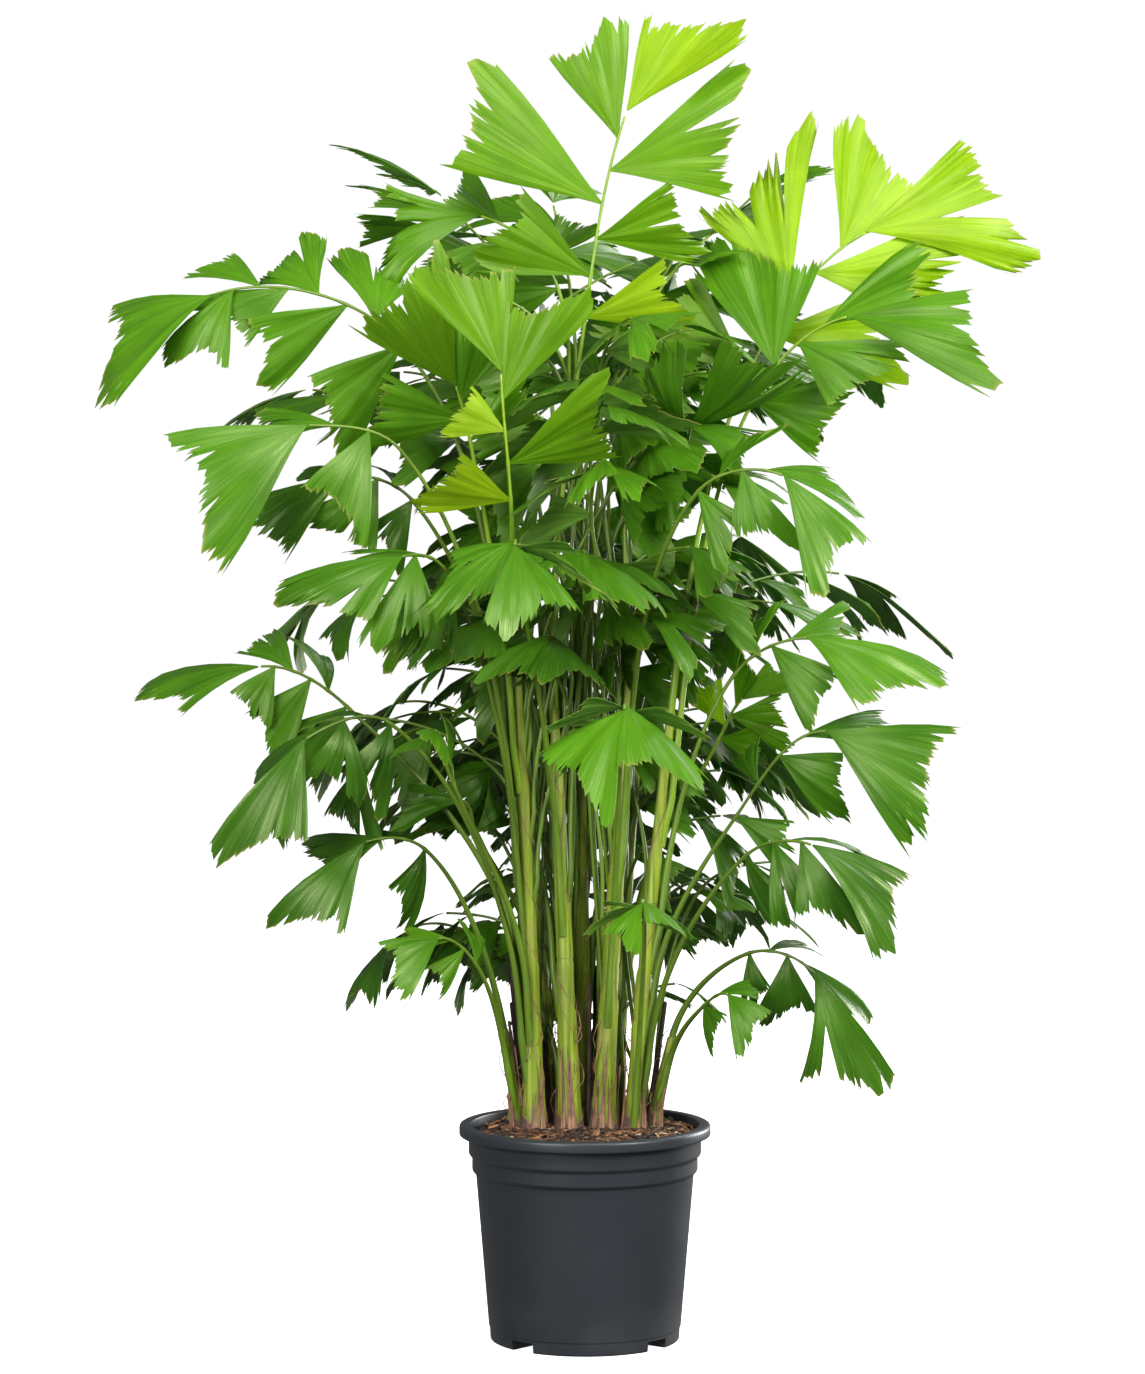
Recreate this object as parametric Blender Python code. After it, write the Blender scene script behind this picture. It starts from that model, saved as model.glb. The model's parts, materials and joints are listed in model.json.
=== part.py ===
"""Potted fishtail palm: a clump of canes with bipinnate fronds in a black nursery pot.

Metres, +Z up, +X to the right of the front view, the front looks along +Y.
The origin is the centre of the pot's flat underside.
"""
import math
import random
from collections import namedtuple

import bmesh
import bpy
from mathutils import Matrix, Vector
from mathutils.bvhtree import BVHTree

GAP = 0.0003
UP = Vector((0.0, 0.0, 1.0))
FRONT = Vector((0.0, -1.0, 0.0))

# Pot, radii and heights of its turned wall
POT_HEIGHT = 0.240
POT_SIDES = 36
BASE_RADIUS = 0.1055
WALL_TOP_RADIUS = 0.1210
RIM_RADIUS = 0.1400
RIM_HEIGHT = 0.0125
WALL = 0.0025
FLOOR = 0.0150
COLLAR_RADII = (0.1290, 0.1252)
COLLAR_BOTTOMS = (0.2035, 0.1850)
FOOT_ROUND = 0.0030
COLLAR_SLOPE = 0.0035
RIM_EDGE = 0.0020
GROOVES = 4
GROOVE_DEPTH = 0.0115
GROOVE_WIDTH = 0.0300
GROOVE_INNER = 0.0560
GROOVE_TURN = math.radians(49.0)
DRAIN_RADIUS = 0.0085
DRAIN_AT = 0.0780
DRAIN_SIDES = 12

# Compost that fills the pot
SOIL_TOP = 0.2320
SOIL_EDGE = 0.2265
SOIL_FLAT_RADIUS = 0.0980

# Canes: foot and top in metres, radius at the foot and under the top leaf
Cane = namedtuple("Cane", "foot top foot_radius top_radius")
CANES = {
    "stem_far_left": Cane((-0.074, 0.010), (-0.090, 0.000, 0.345), 0.0068, 0.0050),
    "stem_left": Cane((-0.056, -0.006), (-0.076, -0.012, 0.760), 0.0118, 0.0062),
    "stem_middle": Cane((-0.017, 0.004), (-0.034, 0.008, 0.700), 0.0125, 0.0068),
    "stem_right": Cane((0.021, 0.000), (0.050, 0.000, 0.740), 0.0125, 0.0066),
    "stem_far_right": Cane((0.055, -0.004), (0.094, -0.006, 0.690), 0.0105, 0.0060),
    "stem_low_right": Cane((0.076, 0.012), (0.097, 0.008, 0.335), 0.0070, 0.0050),
    "stem_back_left": Cane((-0.040, 0.052), (-0.066, 0.086, 0.640), 0.0100, 0.0058),
    "stem_back_middle": Cane((-0.002, 0.040), (-0.006, 0.060, 0.720), 0.0112, 0.0060),
    "stem_back_right": Cane((0.034, 0.055), (0.060, 0.090, 0.660), 0.0105, 0.0058),
}
CANE_SIDES = 8
CANE_STEPS = 5
FLARE = 0.30
FLARE_HEIGHT = 0.045

# Fronds: the cane each leaves and at what height (None for its tip), the hub where its
# first leaflet sits, the rachis tip, the pitch of the rachis there, the roll of its flat
# towards the front, its age from 0, young and stiff, to 1, drooping, and the lengths of
# its leaflets from hub to tip, minus for those on the left seen up the rachis
Frond = namedtuple("Frond", "cane leave hub tip pitch roll age leaves")
FRONDS = {
    "frond_top": Frond(
        "stem_middle", None, (0.000, 0.000, 1.130), (0.047, -0.020, 1.358), 68, 86, 0.08,
        (0.13, -0.15, 0.135, -0.225, 0.20, -0.145, 0.165)),
    "frond_top_left": Frond(
        "stem_back_left", None, (-0.030, 0.060, 1.165), (-0.120, 0.040, 1.245), 10, 60, 0.3,
        (-0.085, 0.09, -0.11, 0.105, -0.145)),
    "frond_bright_right": Frond(
        "stem_far_right", None, (0.180, 0.030, 1.070), (0.315, 0.050, 1.230), 30, 74, 0.05,
        (-0.185, 0.17, -0.215, 0.212, -0.165, 0.195)),
    "frond_upper_right": Frond(
        "stem_far_right", 0.6, (0.185, 0.000, 1.040), (0.290, -0.050, 1.130), 8, 58, 0.34,
        (0.12, -0.18, 0.13, -0.15, 0.205)),
    "frond_dark_fan": Frond(
        "stem_right", None, (0.105, 0.000, 0.970), (0.115, -0.040, 1.010), 60, 65, 0.6,
        (-0.11, 0.1, -0.125, 0.178)),
    "frond_bright_left": Frond(
        "stem_left", None, (-0.080, -0.120, 0.930), (-0.090, -0.150, 1.070), 84, 86, 0.05,
        (-0.115, 0.155, -0.075, 0.15, -0.145)),
    "frond_light_left": Frond(
        "stem_left", 0.66, (-0.125, -0.060, 0.995), (-0.140, -0.080, 1.055), 62, 76, 0.18,
        (0.11, -0.13, 0.12, -0.165)),
    "frond_upper_left": Frond(
        "stem_left", 0.6, (-0.200, -0.030, 1.100), (-0.410, -0.060, 1.150), -22, 62, 0.42,
        (-0.165, 0.125, -0.140, 0.105, -0.110, 0.095, -0.115, 0.180)),
    "frond_arching_left": Frond(
        "stem_left", 0.52, (-0.200, -0.090, 0.985), (-0.300, -0.130, 1.010), 0, 50, 0.5,
        (0.12, -0.13, 0.105, -0.19)),
    "frond_under_left": Frond(
        "stem_back_left", 0.48, (-0.190, -0.010, 0.930), (-0.265, -0.030, 0.955), -12, 45, 0.75,
        (-0.085, 0.075, -0.115, 0.105, -0.145)),
    "frond_mid_left": Frond(
        "stem_left", 0.44, (-0.150, -0.130, 0.855), (-0.195, -0.190, 0.870), -12, 42, 0.65,
        (-0.135, 0.11, -0.14, 0.148)),
    "frond_front_left": Frond(
        "stem_middle", 0.5, (-0.072, -0.180, 0.862), (-0.074, -0.235, 0.882), -66, 6, 0.50,
        (0.100, -0.135, 0.135, -0.125)),
    "frond_side_left": Frond(
        "stem_left", 0.4, (-0.260, -0.050, 0.705), (-0.355, -0.090, 0.750), -8, 52, 0.6,
        (-0.105, 0.095, -0.11, 0.095, -0.075, 0.155)),
    "frond_low_left": Frond(
        "stem_left", 0.34, (-0.210, -0.110, 0.690), (-0.300, -0.170, 0.675), -28, 40, 0.8,
        (-0.11, 0.09, -0.095, 0.13, -0.168)),
    "frond_inner_left": Frond(
        "stem_left", 0.38, (-0.150, -0.110, 0.645), (-0.160, -0.160, 0.685), 0, 40, 0.6,
        (0.08, -0.075, 0.065, -0.08)),
    "frond_drooping_left": Frond(
        "stem_far_left", None, (-0.175, -0.060, 0.550), (-0.240, -0.100, 0.560), -16, 42, 0.8,
        (-0.098, 0.085, 0.115, -0.148)),
    "frond_lowest_left": Frond(
        "stem_far_left", 0.3, (-0.120, -0.060, 0.425), (-0.160, -0.090, 0.455), -8, 48, 0.5,
        (0.058, -0.065, 0.068, -0.09)),
    "frond_behind_left": Frond(
        "stem_back_left", 0.4, (-0.120, -0.020, 0.565), (-0.135, -0.030, 0.600), 0, 40, 0.75,
        (0.08, -0.095, 0.1)),
    "frond_front_right": Frond(
        "stem_right", 0.54, (0.120, -0.160, 0.940), (0.210, -0.210, 0.955), -24, 52, 0.60,
        (0.1, -0.09, 0.11, -0.12, 0.15)),
    "frond_side_right": Frond(
        "stem_far_right", 0.46, (0.165, -0.020, 0.740), (0.245, -0.050, 0.780), 0, 50, 0.5,
        (-0.108, -0.1, 0.12, -0.095, 0.165)),
    "frond_clump_right": Frond(
        "stem_back_right", 0.44, (0.150, 0.040, 0.665), (0.175, 0.020, 0.710), 35, 62, 0.12,
        (0.07, -0.075, 0.08, -0.075, 0.08)),
    "frond_low_right": Frond(
        "stem_far_right", 0.38, (0.165, -0.050, 0.585), (0.265, -0.090, 0.680), -6, 46, 0.65,
        (0.1, -0.075, 0.11, -0.15, 0.172)),
    "frond_dark_right": Frond(
        "stem_far_right", 0.31, (0.175, -0.080, 0.545), (0.245, -0.130, 0.560), -14, 42, 0.8,
        (0.088, -0.07, 0.1, -0.13, 0.125, -0.15)),
    "frond_drooping_right": Frond(
        "stem_low_right", None, (0.180, -0.050, 0.435), (0.250, -0.090, 0.415), -48, 45, 0.8,
        (0.08, -0.075, 0.092, -0.12, 0.165)),
    "frond_lowest_right": Frond(
        "stem_low_right", 0.3, (0.130, -0.070, 0.380), (0.155, -0.100, 0.395), -16, 42, 0.65,
        (0.065, -0.055, 0.082)),
    "frond_front": Frond(
        "stem_right", 0.4, (0.040, -0.145, 0.688), (0.041, -0.195, 0.708), -72, 20, 0.40,
        (0.095, -0.105, 0.105, -0.135, 0.150)),
    "frond_front_low": Frond(
        "stem_far_right", 0.27, (0.064, -0.115, 0.476), (0.060, -0.155, 0.499), -60, 0, 0.35,
        (-0.062, 0.075, -0.07, 0.080)),
}

# Fronds at the back, by level: count, turn of the first in degrees, hub height and reach,
# tip reach and rise, pitch, age, number of leaflets and their length
FILL_LEVELS = (
    (4, 20, 1.10, 0.07, 0.20, 0.150, 45, 0.30, 5, 0.170),
    (5, 40, 0.97, 0.09, 0.32, 0.110, 0, 0.55, 5, 0.170),
    (5, 22, 0.80, 0.10, 0.31, 0.070, -12, 0.70, 4, 0.165),
    (5, 50, 0.62, 0.10, 0.28, 0.050, -18, 0.80, 4, 0.155),
    (3, 45, 0.45, 0.10, 0.22, 0.030, -25, 0.75, 4, 0.130),
)
FILL_ARC = 160.0
FILL_HEIGHT_SPREAD = 0.05
FILL_ROLL = 20
FILL_LEAVE = 0.74

# Side rachises of the back fronds: where on the rachis, side, length and leaflet lengths
Pinna = namedtuple("Pinna", "share side length leaves")
FILL_PINNAE = (
    Pinna(0.20, 1.0, 0.100, (-0.095, 0.100, -0.115)),
    Pinna(0.45, -1.0, 0.090, (0.100, -0.110)),
)
PINNA_STEPS = 1
PINNA_SPREAD = math.radians(52.0)
PINNA_DROOP = 0.35

# Petiole and rachis, three-sided and tapering
RACHIS_SIDES = 3
BACK_FROM = 0.06
PETIOLE_STEPS = 4
RACHIS_STEPS = 3
SHEATH = 0.008
FOOT_PULL, HUB_PULL = 1.1, 0.8
PETIOLE_RADIUS = 0.0042
RACHIS_RADIUS = 0.0020
TIP_RADIUS = 0.0014

# Leaflets: a wedge from the rachis to a torn end, whose tip lies towards the frond's tip
FIRST_SPREAD = math.radians(64.0)
LAST_SPREAD = math.radians(50.0)
PAIR_SPREAD = math.radians(32.0)
END_SPREAD = math.radians(14.0)
HALF_OPENING = math.radians(26.0)
FALL_OF_OLD = math.radians(28.0)
BEND_OF_OLD = 1.25
NOTCH = 0.20
THICKNESS_SHARE = 0.013
BASE_WIDE = 0.0014
BASE_DEEP = 0.0009
CLEARANCE = 0.0012
INNER_FACES = 8

Leaflet = namedtuple("Leaflet", "root along across normal length opening peak sides bend cup")


def turned(vector, axis, angle):
    """The vector turned by an angle about an axis."""
    return Matrix.Rotation(angle, 3, axis) @ vector


def blend(a, b, share):
    """The value or point a share of the way from a to b."""
    return a + (b - a) * share


def hermite(start, start_pull, end, end_pull, share):
    """A point of the smooth curve between two ends with given pulls."""
    s2, s3 = share * share, share ** 3
    return (start * (2 * s3 - 3 * s2 + 1) + start_pull * (s3 - 2 * s2 + share)
            + end * (3 * s2 - 2 * s3) + end_pull * (s3 - s2))


def cane_point(cane, share):
    """A point of a cane's axis, which leans out more as it rises."""
    foot = Vector((*cane.foot, SOIL_TOP + GAP))
    lean = blend(foot, Vector(cane.top), share ** 1.3)
    return Vector((lean.x, lean.y, blend(foot.z, cane.top[2], share)))


def cane_radius(cane, share):
    """A cane's radius, with its flare at the foot."""
    height = (cane.top[2] - SOIL_TOP) * share
    flare = FLARE * max(0.0, 1.0 - height / FLARE_HEIGHT) ** 2
    return blend(cane.foot_radius, cane.top_radius, share) * (1.0 + flare)


def cane_tangent(cane, share):
    """The direction in which a cane grows at a share of its height."""
    low, high = max(0.0, share - 0.02), min(1.0, share + 0.02)
    return (cane_point(cane, high) - cane_point(cane, low)).normalized()


def tube(points, radii, sides, towards, foot=None):
    """A closed tube along points, its first ring square to foot where that is given."""
    verts, faces = [], []
    side = None
    for i, point in enumerate(points):
        tangent = (points[min(i + 1, len(points) - 1)] - points[max(i - 1, 0)]).normalized()
        tangent = foot if foot and i == 0 else tangent
        side = towards if side is None else side
        side = (side - tangent * side.dot(tangent)).normalized()
        for k in range(sides):
            verts.append(point + turned(side, tangent, math.tau * k / sides) * radii[i])
    for i in range(len(points) - 1):
        for k in range(sides):
            a, b = i * sides + k, i * sides + (k + 1) % sides
            faces.append((a, b, b + sides, a + sides))
    last = (len(points) - 1) * sides
    faces += [(0, k + 1, k) for k in range(1, sides - 1)]
    faces += [(last, last + k, last + k + 1) for k in range(1, sides - 1)]
    return verts, faces


def rachis_route(frond, turn=0.0, shift=0.0, lift=0.0):
    """Points of a frond's petiole, then of its rachis, and the direction to its cane."""
    cane = CANES[frond.cane]
    hub = Vector(frond.hub) + Vector((0.0, shift, 0.0))
    tip = Vector(frond.tip)
    if frond.leave is None:
        start = cane_point(cane, 1.0) + cane_tangent(cane, 1.0) * GAP
        tangent = cane_tangent(cane, 1.0)
        inward = -(hub - start)
    else:
        share = (frond.leave + lift - SOIL_TOP) / (cane.top[2] - SOIL_TOP)
        tangent = cane_tangent(cane, share)
        outward = turned(hub - cane_point(cane, share), UP, turn)
        outward = (outward - tangent * outward.dot(tangent)).normalized()
        side = tree_of(cane_shape(cane)).ray_cast(cane_point(cane, share), outward)[0]
        start = side + outward * (PETIOLE_RADIUS + GAP)
        inward = -outward
    first, second = hub - start, tip - hub
    middle = (first.normalized() + second.normalized() * 0.8).normalized()
    level = Vector((second.x, second.y, 0.0)).normalized()
    pitch = math.radians(frond.pitch)
    end = level * math.cos(pitch) + UP * math.sin(pitch)
    rise, arrive = tangent * (first.length * FOOT_PULL), middle * (first.length * HUB_PULL)
    petiole = [hermite(start, rise, hub, arrive, k / PETIOLE_STEPS) for k in range(PETIOLE_STEPS)]
    petiole.insert(1, start + tangent * SHEATH)
    rachis = [hermite(hub, middle * second.length, tip, end * second.length, k / RACHIS_STEPS)
              for k in range(RACHIS_STEPS + 1)]
    return petiole, rachis, inward


def rachis_tube(petiole, rachis, inward, extra=0.0):
    """The solid of a petiole and its rachis, thicker all round by extra."""
    radii = [blend(PETIOLE_RADIUS, RACHIS_RADIUS, k / len(petiole)) for k in range(len(petiole))]
    radii += [blend(RACHIS_RADIUS, TIP_RADIUS, k / RACHIS_STEPS) for k in range(RACHIS_STEPS + 1)]
    return tube(petiole + rachis, [radius + extra for radius in radii], RACHIS_SIDES, inward)


def frond_flat(tangent, roll, facing):
    """Across and normal of a frond's flat where its rachis runs along tangent."""
    normal = UP * math.cos(roll) + facing * math.sin(roll)
    normal = (normal - tangent * normal.dot(tangent)).normalized()
    return tangent.cross(normal), normal


def pinna_route(frond, rachis, pinna):
    """Points of a side rachis, which leaves the main one in the frond's flat and droops."""
    at = pinna.share * RACHIS_STEPS
    step = int(at)
    root = blend(rachis[step], rachis[step + 1], at - step)
    tangent = (rachis[step + 1] - rachis[step]).normalized()
    across, _ = frond_flat(tangent, math.radians(frond.roll), facing_of(rachis[-1]))
    out = tangent * math.cos(PINNA_SPREAD) + across * (pinna.side * math.sin(PINNA_SPREAD))
    droop = PINNA_DROOP * frond.age
    shares = [k / PINNA_STEPS for k in range(PINNA_STEPS + 1)]
    return [root + (out - UP * (droop * share)) * (pinna.length * share) for share in shares]


def pinna_tube(points, extra=0.0):
    """The solid of a side rachis, thicker all round by extra."""
    return tube(points, [TIP_RADIUS + extra] * len(points), RACHIS_SIDES, UP)


def facing_of(tip):
    """The way that the flat of a frond with this tip turns: front, or out at the back."""
    return FRONT if tip.y < BACK_FROM else Vector((tip.x, tip.y, 0.0)).normalized()


def leaflets_of(frond, name, rachis, lengths):
    """The leaflets on a rachis, from its hub to its tip, on alternate sides."""
    chance = random.Random(name)
    facing = facing_of(rachis[-1])
    leaflets = []
    steps, last = len(rachis) - 1, len(lengths) - 1
    for i, length in enumerate(lengths):
        share = i / last
        at = min(share ** 0.9, 0.985) * steps
        step = min(int(at), steps - 1)
        root = blend(rachis[step], rachis[step + 1], at - step)
        tangent = (rachis[step + 1] - rachis[step]).normalized()
        across, normal = frond_flat(tangent, math.radians(frond.roll), facing)
        side = math.copysign(1.0, length)
        ends = {last: END_SPREAD, last - 1: PAIR_SPREAD}
        spread = ends.get(i, blend(FIRST_SPREAD, LAST_SPREAD, share))
        spread += math.radians(chance.uniform(-7.0, 7.0))
        along = tangent * math.cos(spread) + across * (side * math.sin(spread))
        inward = -tangent * math.sin(spread) + across * (side * math.cos(spread))
        twist = math.radians(chance.uniform(-16.0, 16.0))
        inward, normal = turned(inward, along, twist), turned(normal, along, twist)
        fall = (0.03 + FALL_OF_OLD * frond.age) * chance.uniform(0.6, 1.2)
        fall = min(fall, along.angle(-UP) * 0.85)
        swing = along.cross(-UP).normalized()
        along, inward, normal = (turned(v, swing, fall) for v in (along, inward, normal))
        lean = chance.choice((-1.0, 1.0, 1.0))
        sides = (chance.uniform(0.86, 0.99), chance.uniform(0.64, 0.86))
        leaflets.append(Leaflet(
            root, along, inward, normal, abs(length), HALF_OPENING * chance.uniform(0.75, 1.15),
            lean * chance.uniform(0.45, 0.90), sides if lean < 0.0 else sides[::-1],
            (0.10 + BEND_OF_OLD * frond.age) * chance.uniform(0.7, 1.2), chance.uniform(0.1, 0.5)))
    return leaflets


def on_leaflet(leaflet, ray, reach):
    """The point of a leaflet's bent flat on a ray, -1 to 1, at a reach in metres."""
    angle = ray * leaflet.opening
    run, across = reach * math.cos(angle), reach * math.sin(angle)
    curl = leaflet.bend / leaflet.length
    drop = (1.0 - math.cos(curl * run)) / curl + leaflet.cup * across * across / leaflet.length
    return (leaflet.root + leaflet.along * (math.sin(curl * run) / curl)
            + leaflet.across * across - leaflet.normal * drop)


def outline(leaflet):
    """Rays and reaches of a leaflet's torn end: corner, tip, notch, corner, from far to near."""
    far, near = leaflet.sides
    ends = [(-1.0, far), (leaflet.peak, 1.0), (1.0, near)]
    wide = 1 if leaflet.peak > 0.0 else 2
    (ray, share), (other, beside) = ends[wide - 1], ends[wide]
    ends.insert(wide, ((ray + other) / 2.0, (share + beside) / 2.0 * (1.0 - NOTCH)))
    return [(ray, leaflet.length * share) for ray, share in ends]


def blade(leaflet, extra=0.0):
    """A leaflet's thin closed blade: a wedge from inside the rachis to its torn end."""
    half = leaflet.length * THICKNESS_SHARE / 2.0 + extra
    wide, deep = leaflet.across * (BASE_WIDE + extra), leaflet.normal * (BASE_DEEP + extra)
    ends = outline(leaflet)
    middle = on_leaflet(leaflet, leaflet.peak, leaflet.length / 2.0)
    verts = [leaflet.root - wide - deep, leaflet.root + wide - deep, leaflet.root + deep,
             on_leaflet(leaflet, -1.0, ends[0][1] / 2.0), middle + leaflet.normal * half,
             middle - leaflet.normal * half, on_leaflet(leaflet, 1.0, ends[3][1] / 2.0)]
    verts += [on_leaflet(leaflet, ray, reach) for ray, reach in ends]
    left, right, top, low, over, under, high = range(7)
    one, two, three, four = range(7, 11)
    above = [(left, over, low), (left, top, over), (top, right, over), (right, high, over)]
    below = [(left, under, low), (left, right, under), (right, high, under)]
    faces = [(left, right, top), *above, *(face[::-1] for face in below)]
    for crest, order in ((over, 1), (under, -1)):
        row = [(low, two, one), (low, crest, two), (crest, three, two)]
        row += [(crest, four, three), (crest, high, four)]
        faces += [face[::order] for face in row]
    if leaflet.across.cross(leaflet.along).dot(leaflet.normal) < 0.0:
        faces = [face[::-1] for face in faces]
    return verts, faces


def tree_of(shape, first=0):
    """A search tree of a shape's faces, from a given face on."""
    return BVHTree.FromPolygons(shape[0], shape[1][first:])


def ball_of(verts):
    """The middle and radius of a ball round some points."""
    middle = sum(verts, Vector()) / len(verts)
    return middle, max((v - middle).length for v in verts)


class Crown:
    """The space that is taken, by node, to keep each frond clear of the others."""

    def __init__(self):
        self.taken = []

    def add(self, name, shape):
        """Take the space of a shape for a node."""
        self.taken.append((name, tree_of(shape), *ball_of(shape[0])))

    def clear(self, shape, skip=()):
        """Whether a shape touches nothing that is taken, apart from the nodes in skip."""
        tree = tree_of(shape)
        middle, radius = ball_of(shape[0])
        return not any(
            name not in skip and (there - middle).length < radius + size and tree.overlap(other)
            for name, other, there, size in self.taken)


def fill_fronds():
    """Fronds for the back of the crown, level by level round the canes."""
    chance = random.Random("back of the crown")
    tall = [cane for cane in CANES if CANES[cane].top[2] > 0.5]
    fronds = {}
    for level, row in enumerate(FILL_LEVELS):
        count, turn, height, hub_reach, tip_reach, rise, pitch, age, leaves, size = row
        for k in range(count):
            angle = math.radians(turn + k * FILL_ARC / count)
            out = Vector((math.cos(angle), math.sin(angle), 0.0))
            lift = chance.uniform(-FILL_HEIGHT_SPREAD, FILL_HEIGHT_SPREAD)
            centre = Vector((0.0, 0.03, height + lift))
            hub = centre + out * hub_reach
            tip = centre + out * tip_reach * chance.uniform(0.9, 1.1) + UP * rise
            cane = min(tall, key=lambda n: (Vector(CANES[n].top).xy - hub.xy * 0.4).length)
            leave = min(CANES[cane].top[2] - 0.06, height * FILL_LEAVE - 0.05)
            lengths = [size * blend(0.8, 1.0, i / leaves) * (-1) ** i for i in range(leaves)]
            fronds[f"frond_back_{level + 1}_{k + 1}"] = Frond(
                cane, leave, tuple(hub), tuple(tip), pitch, FILL_ROLL, age, tuple(lengths))
    return fronds


ROUTE_TRIES = [(turn, shift, lift) for shift in (0.0, 0.012, -0.012, 0.024, -0.024)
               for turn in (0.0, 0.4, -0.4, 0.8, -0.8) for lift in (0.0, 0.02, -0.02)]
LEAF_TRIES = [(turn, shrink) for shrink in (1.0, 0.88, 0.76)
              for turn in (0.0, 0.18, -0.18, 0.36, -0.36)]


def cane_shape(cane, extra=0.0):
    """A cane's solid, cut flat at the foot."""
    shares = [(k / CANE_STEPS) ** 1.5 for k in range(CANE_STEPS + 1)]
    points = [cane_point(cane, share) for share in shares]
    radii = [cane_radius(cane, share) + extra for share in shares]
    return tube(points, radii, CANE_SIDES, FRONT, UP)


def pinnae_of(name):
    """The side rachises that a frond bears."""
    return FILL_PINNAE if name.startswith("frond_back") else ()


def room_for(crown, own, name, leaflet):
    """A leaflet, turned or shrunk until it has room, with its search tree, or None."""
    for turn, shrink in LEAF_TRIES:
        fitted = leaflet._replace(
            along=turned(leaflet.along, leaflet.normal, turn),
            across=turned(leaflet.across, leaflet.normal, turn), length=leaflet.length * shrink)
        shape = blade(fitted, CLEARANCE)
        fan = tree_of(shape, INNER_FACES)
        if not any(fan.overlap(other) for other in own) and crown.clear(shape, skip=(name,)):
            return fitted, fan
    return None


def grow():
    """Every frond's route, side rachises and the leaflets that have room, in fixed order."""
    crown = Crown()
    for name, cane in CANES.items():
        crown.add(name, cane_shape(cane))
    routes, fronds = {}, {}
    for name, frond in {**FRONDS, **fill_fronds()}.items():
        for turn, shift, lift in ROUTE_TRIES:
            route = rachis_route(frond, turn, shift, lift)
            body = rachis_tube(*route)
            if crown.clear(rachis_tube(*route, CLEARANCE), skip=(frond.cane,)) and crown.clear(body):
                crown.add(name, body)
                routes[name], fronds[name] = route, frond
                break
    leaflets = {name: [] for name in routes}
    pinnae = {name: [] for name in routes}
    for name, frond in fronds.items():
        rachis = routes[name][1]
        own = [tree_of(rachis_tube(*routes[name]))]
        wanted = leaflets_of(frond, name, rachis, frond.leaves)
        for k, pinna in enumerate(pinnae_of(name)):
            points = pinna_route(frond, rachis, pinna)
            if crown.clear(pinna_tube(points, CLEARANCE), skip=(name,)):
                pinnae[name].append(points)
                crown.add(name, pinna_tube(points))
                own.append(tree_of(pinna_tube(points[1:])))
                wanted += leaflets_of(frond, f"{name} {k}", points, pinna.leaves)
        for leaflet in wanted:
            found = room_for(crown, own, name, leaflet)
            if found:
                leaflets[name].append(found[0])
                own.append(found[1])
        for leaflet in leaflets[name]:
            crown.add(name, blade(leaflet))
    return routes, pinnae, leaflets


def wall_radius(height):
    """The outer radius of the pot's tapering wall at a height."""
    return blend(BASE_RADIUS, WALL_TOP_RADIUS, height / COLLAR_BOTTOMS[-1])


def pot_profile():
    """Radius and height round the pot: up the outside, over the rim, down the inside."""
    low, high = COLLAR_BOTTOMS[-1], COLLAR_BOTTOMS[0]
    small, large = COLLAR_RADII[-1], COLLAR_RADII[0]
    under_rim = POT_HEIGHT - RIM_HEIGHT
    return [
        (0.0, 0.0), (BASE_RADIUS - FOOT_ROUND, 0.0), (BASE_RADIUS, FOOT_ROUND), (wall_radius(low), low),
        (small, low + COLLAR_SLOPE), (small, high), (large, high + COLLAR_SLOPE), (large, under_rim),
        (RIM_RADIUS, under_rim), (RIM_RADIUS, POT_HEIGHT - RIM_EDGE), (RIM_RADIUS - RIM_EDGE, POT_HEIGHT),
        (large - WALL, POT_HEIGHT), (large - WALL, high + COLLAR_SLOPE), (wall_radius(low) - WALL, low),
        (BASE_RADIUS - WALL, FLOOR), (0.0, FLOOR)]


def soil_profile():
    """Radius and height round the compost, flat in the middle where the canes stand."""
    low, high, large = COLLAR_BOTTOMS[-1], COLLAR_BOTTOMS[0], COLLAR_RADII[0]
    clear = WALL + GAP
    return [
        (0.0, FLOOR + GAP), (BASE_RADIUS - clear, FLOOR + GAP), (wall_radius(low) - clear, low + GAP),
        (large - clear, high + COLLAR_SLOPE + GAP), (large - clear, SOIL_EDGE),
        (SOIL_FLAT_RADIUS, SOIL_TOP), (0.0, SOIL_TOP)]


def material(name, colour, roughness):
    """A plain material of one colour."""
    made = bpy.data.materials.new(name)
    made.use_nodes = True
    shader = made.node_tree.nodes["Principled BSDF"]
    shader.inputs["Base Color"].default_value = (*colour, 1.0)
    shader.inputs["Roughness"].default_value = roughness
    return made


def solid(name, shape, finish):
    """An object from vertices and triangles."""
    mesh = bpy.data.meshes.new(name)
    mesh.from_pydata([tuple(v) for v in shape[0]], [], shape[1])
    mesh.update()
    made = bpy.data.objects.new(name, mesh)
    made.data.materials.append(finish)
    bpy.context.scene.collection.objects.link(made)
    return made


def turned_solid(name, profile, finish):
    """A solid of revolution about +Z, whose profile starts and ends on the axis."""
    verts, faces, rings = [], [], []
    for radius, height in profile:
        count = POT_SIDES if radius > 0.0 else 1
        rings.append(list(range(len(verts), len(verts) + count)))
        angles = [math.tau * (k + 0.5) / POT_SIDES for k in range(count)]
        verts += [Vector((radius * math.cos(a), radius * math.sin(a), height)) for a in angles]
    for ring, above in zip(rings, rings[1:]):
        for k in range(POT_SIDES):
            corners = [ring[k % len(ring)], ring[(k + 1) % len(ring)],
                       above[(k + 1) % len(above)], above[k % len(above)]]
            faces.append(tuple(dict.fromkeys(corners)))
    return solid(name, (verts, faces), finish)


def closed(mesh):
    """Whether every edge of a mesh joins exactly two faces."""
    shape = bmesh.new()
    shape.from_mesh(mesh)
    good = all(edge.is_manifold for edge in shape.edges) and shape.calc_volume() > 0.0
    shape.free()
    return good


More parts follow.
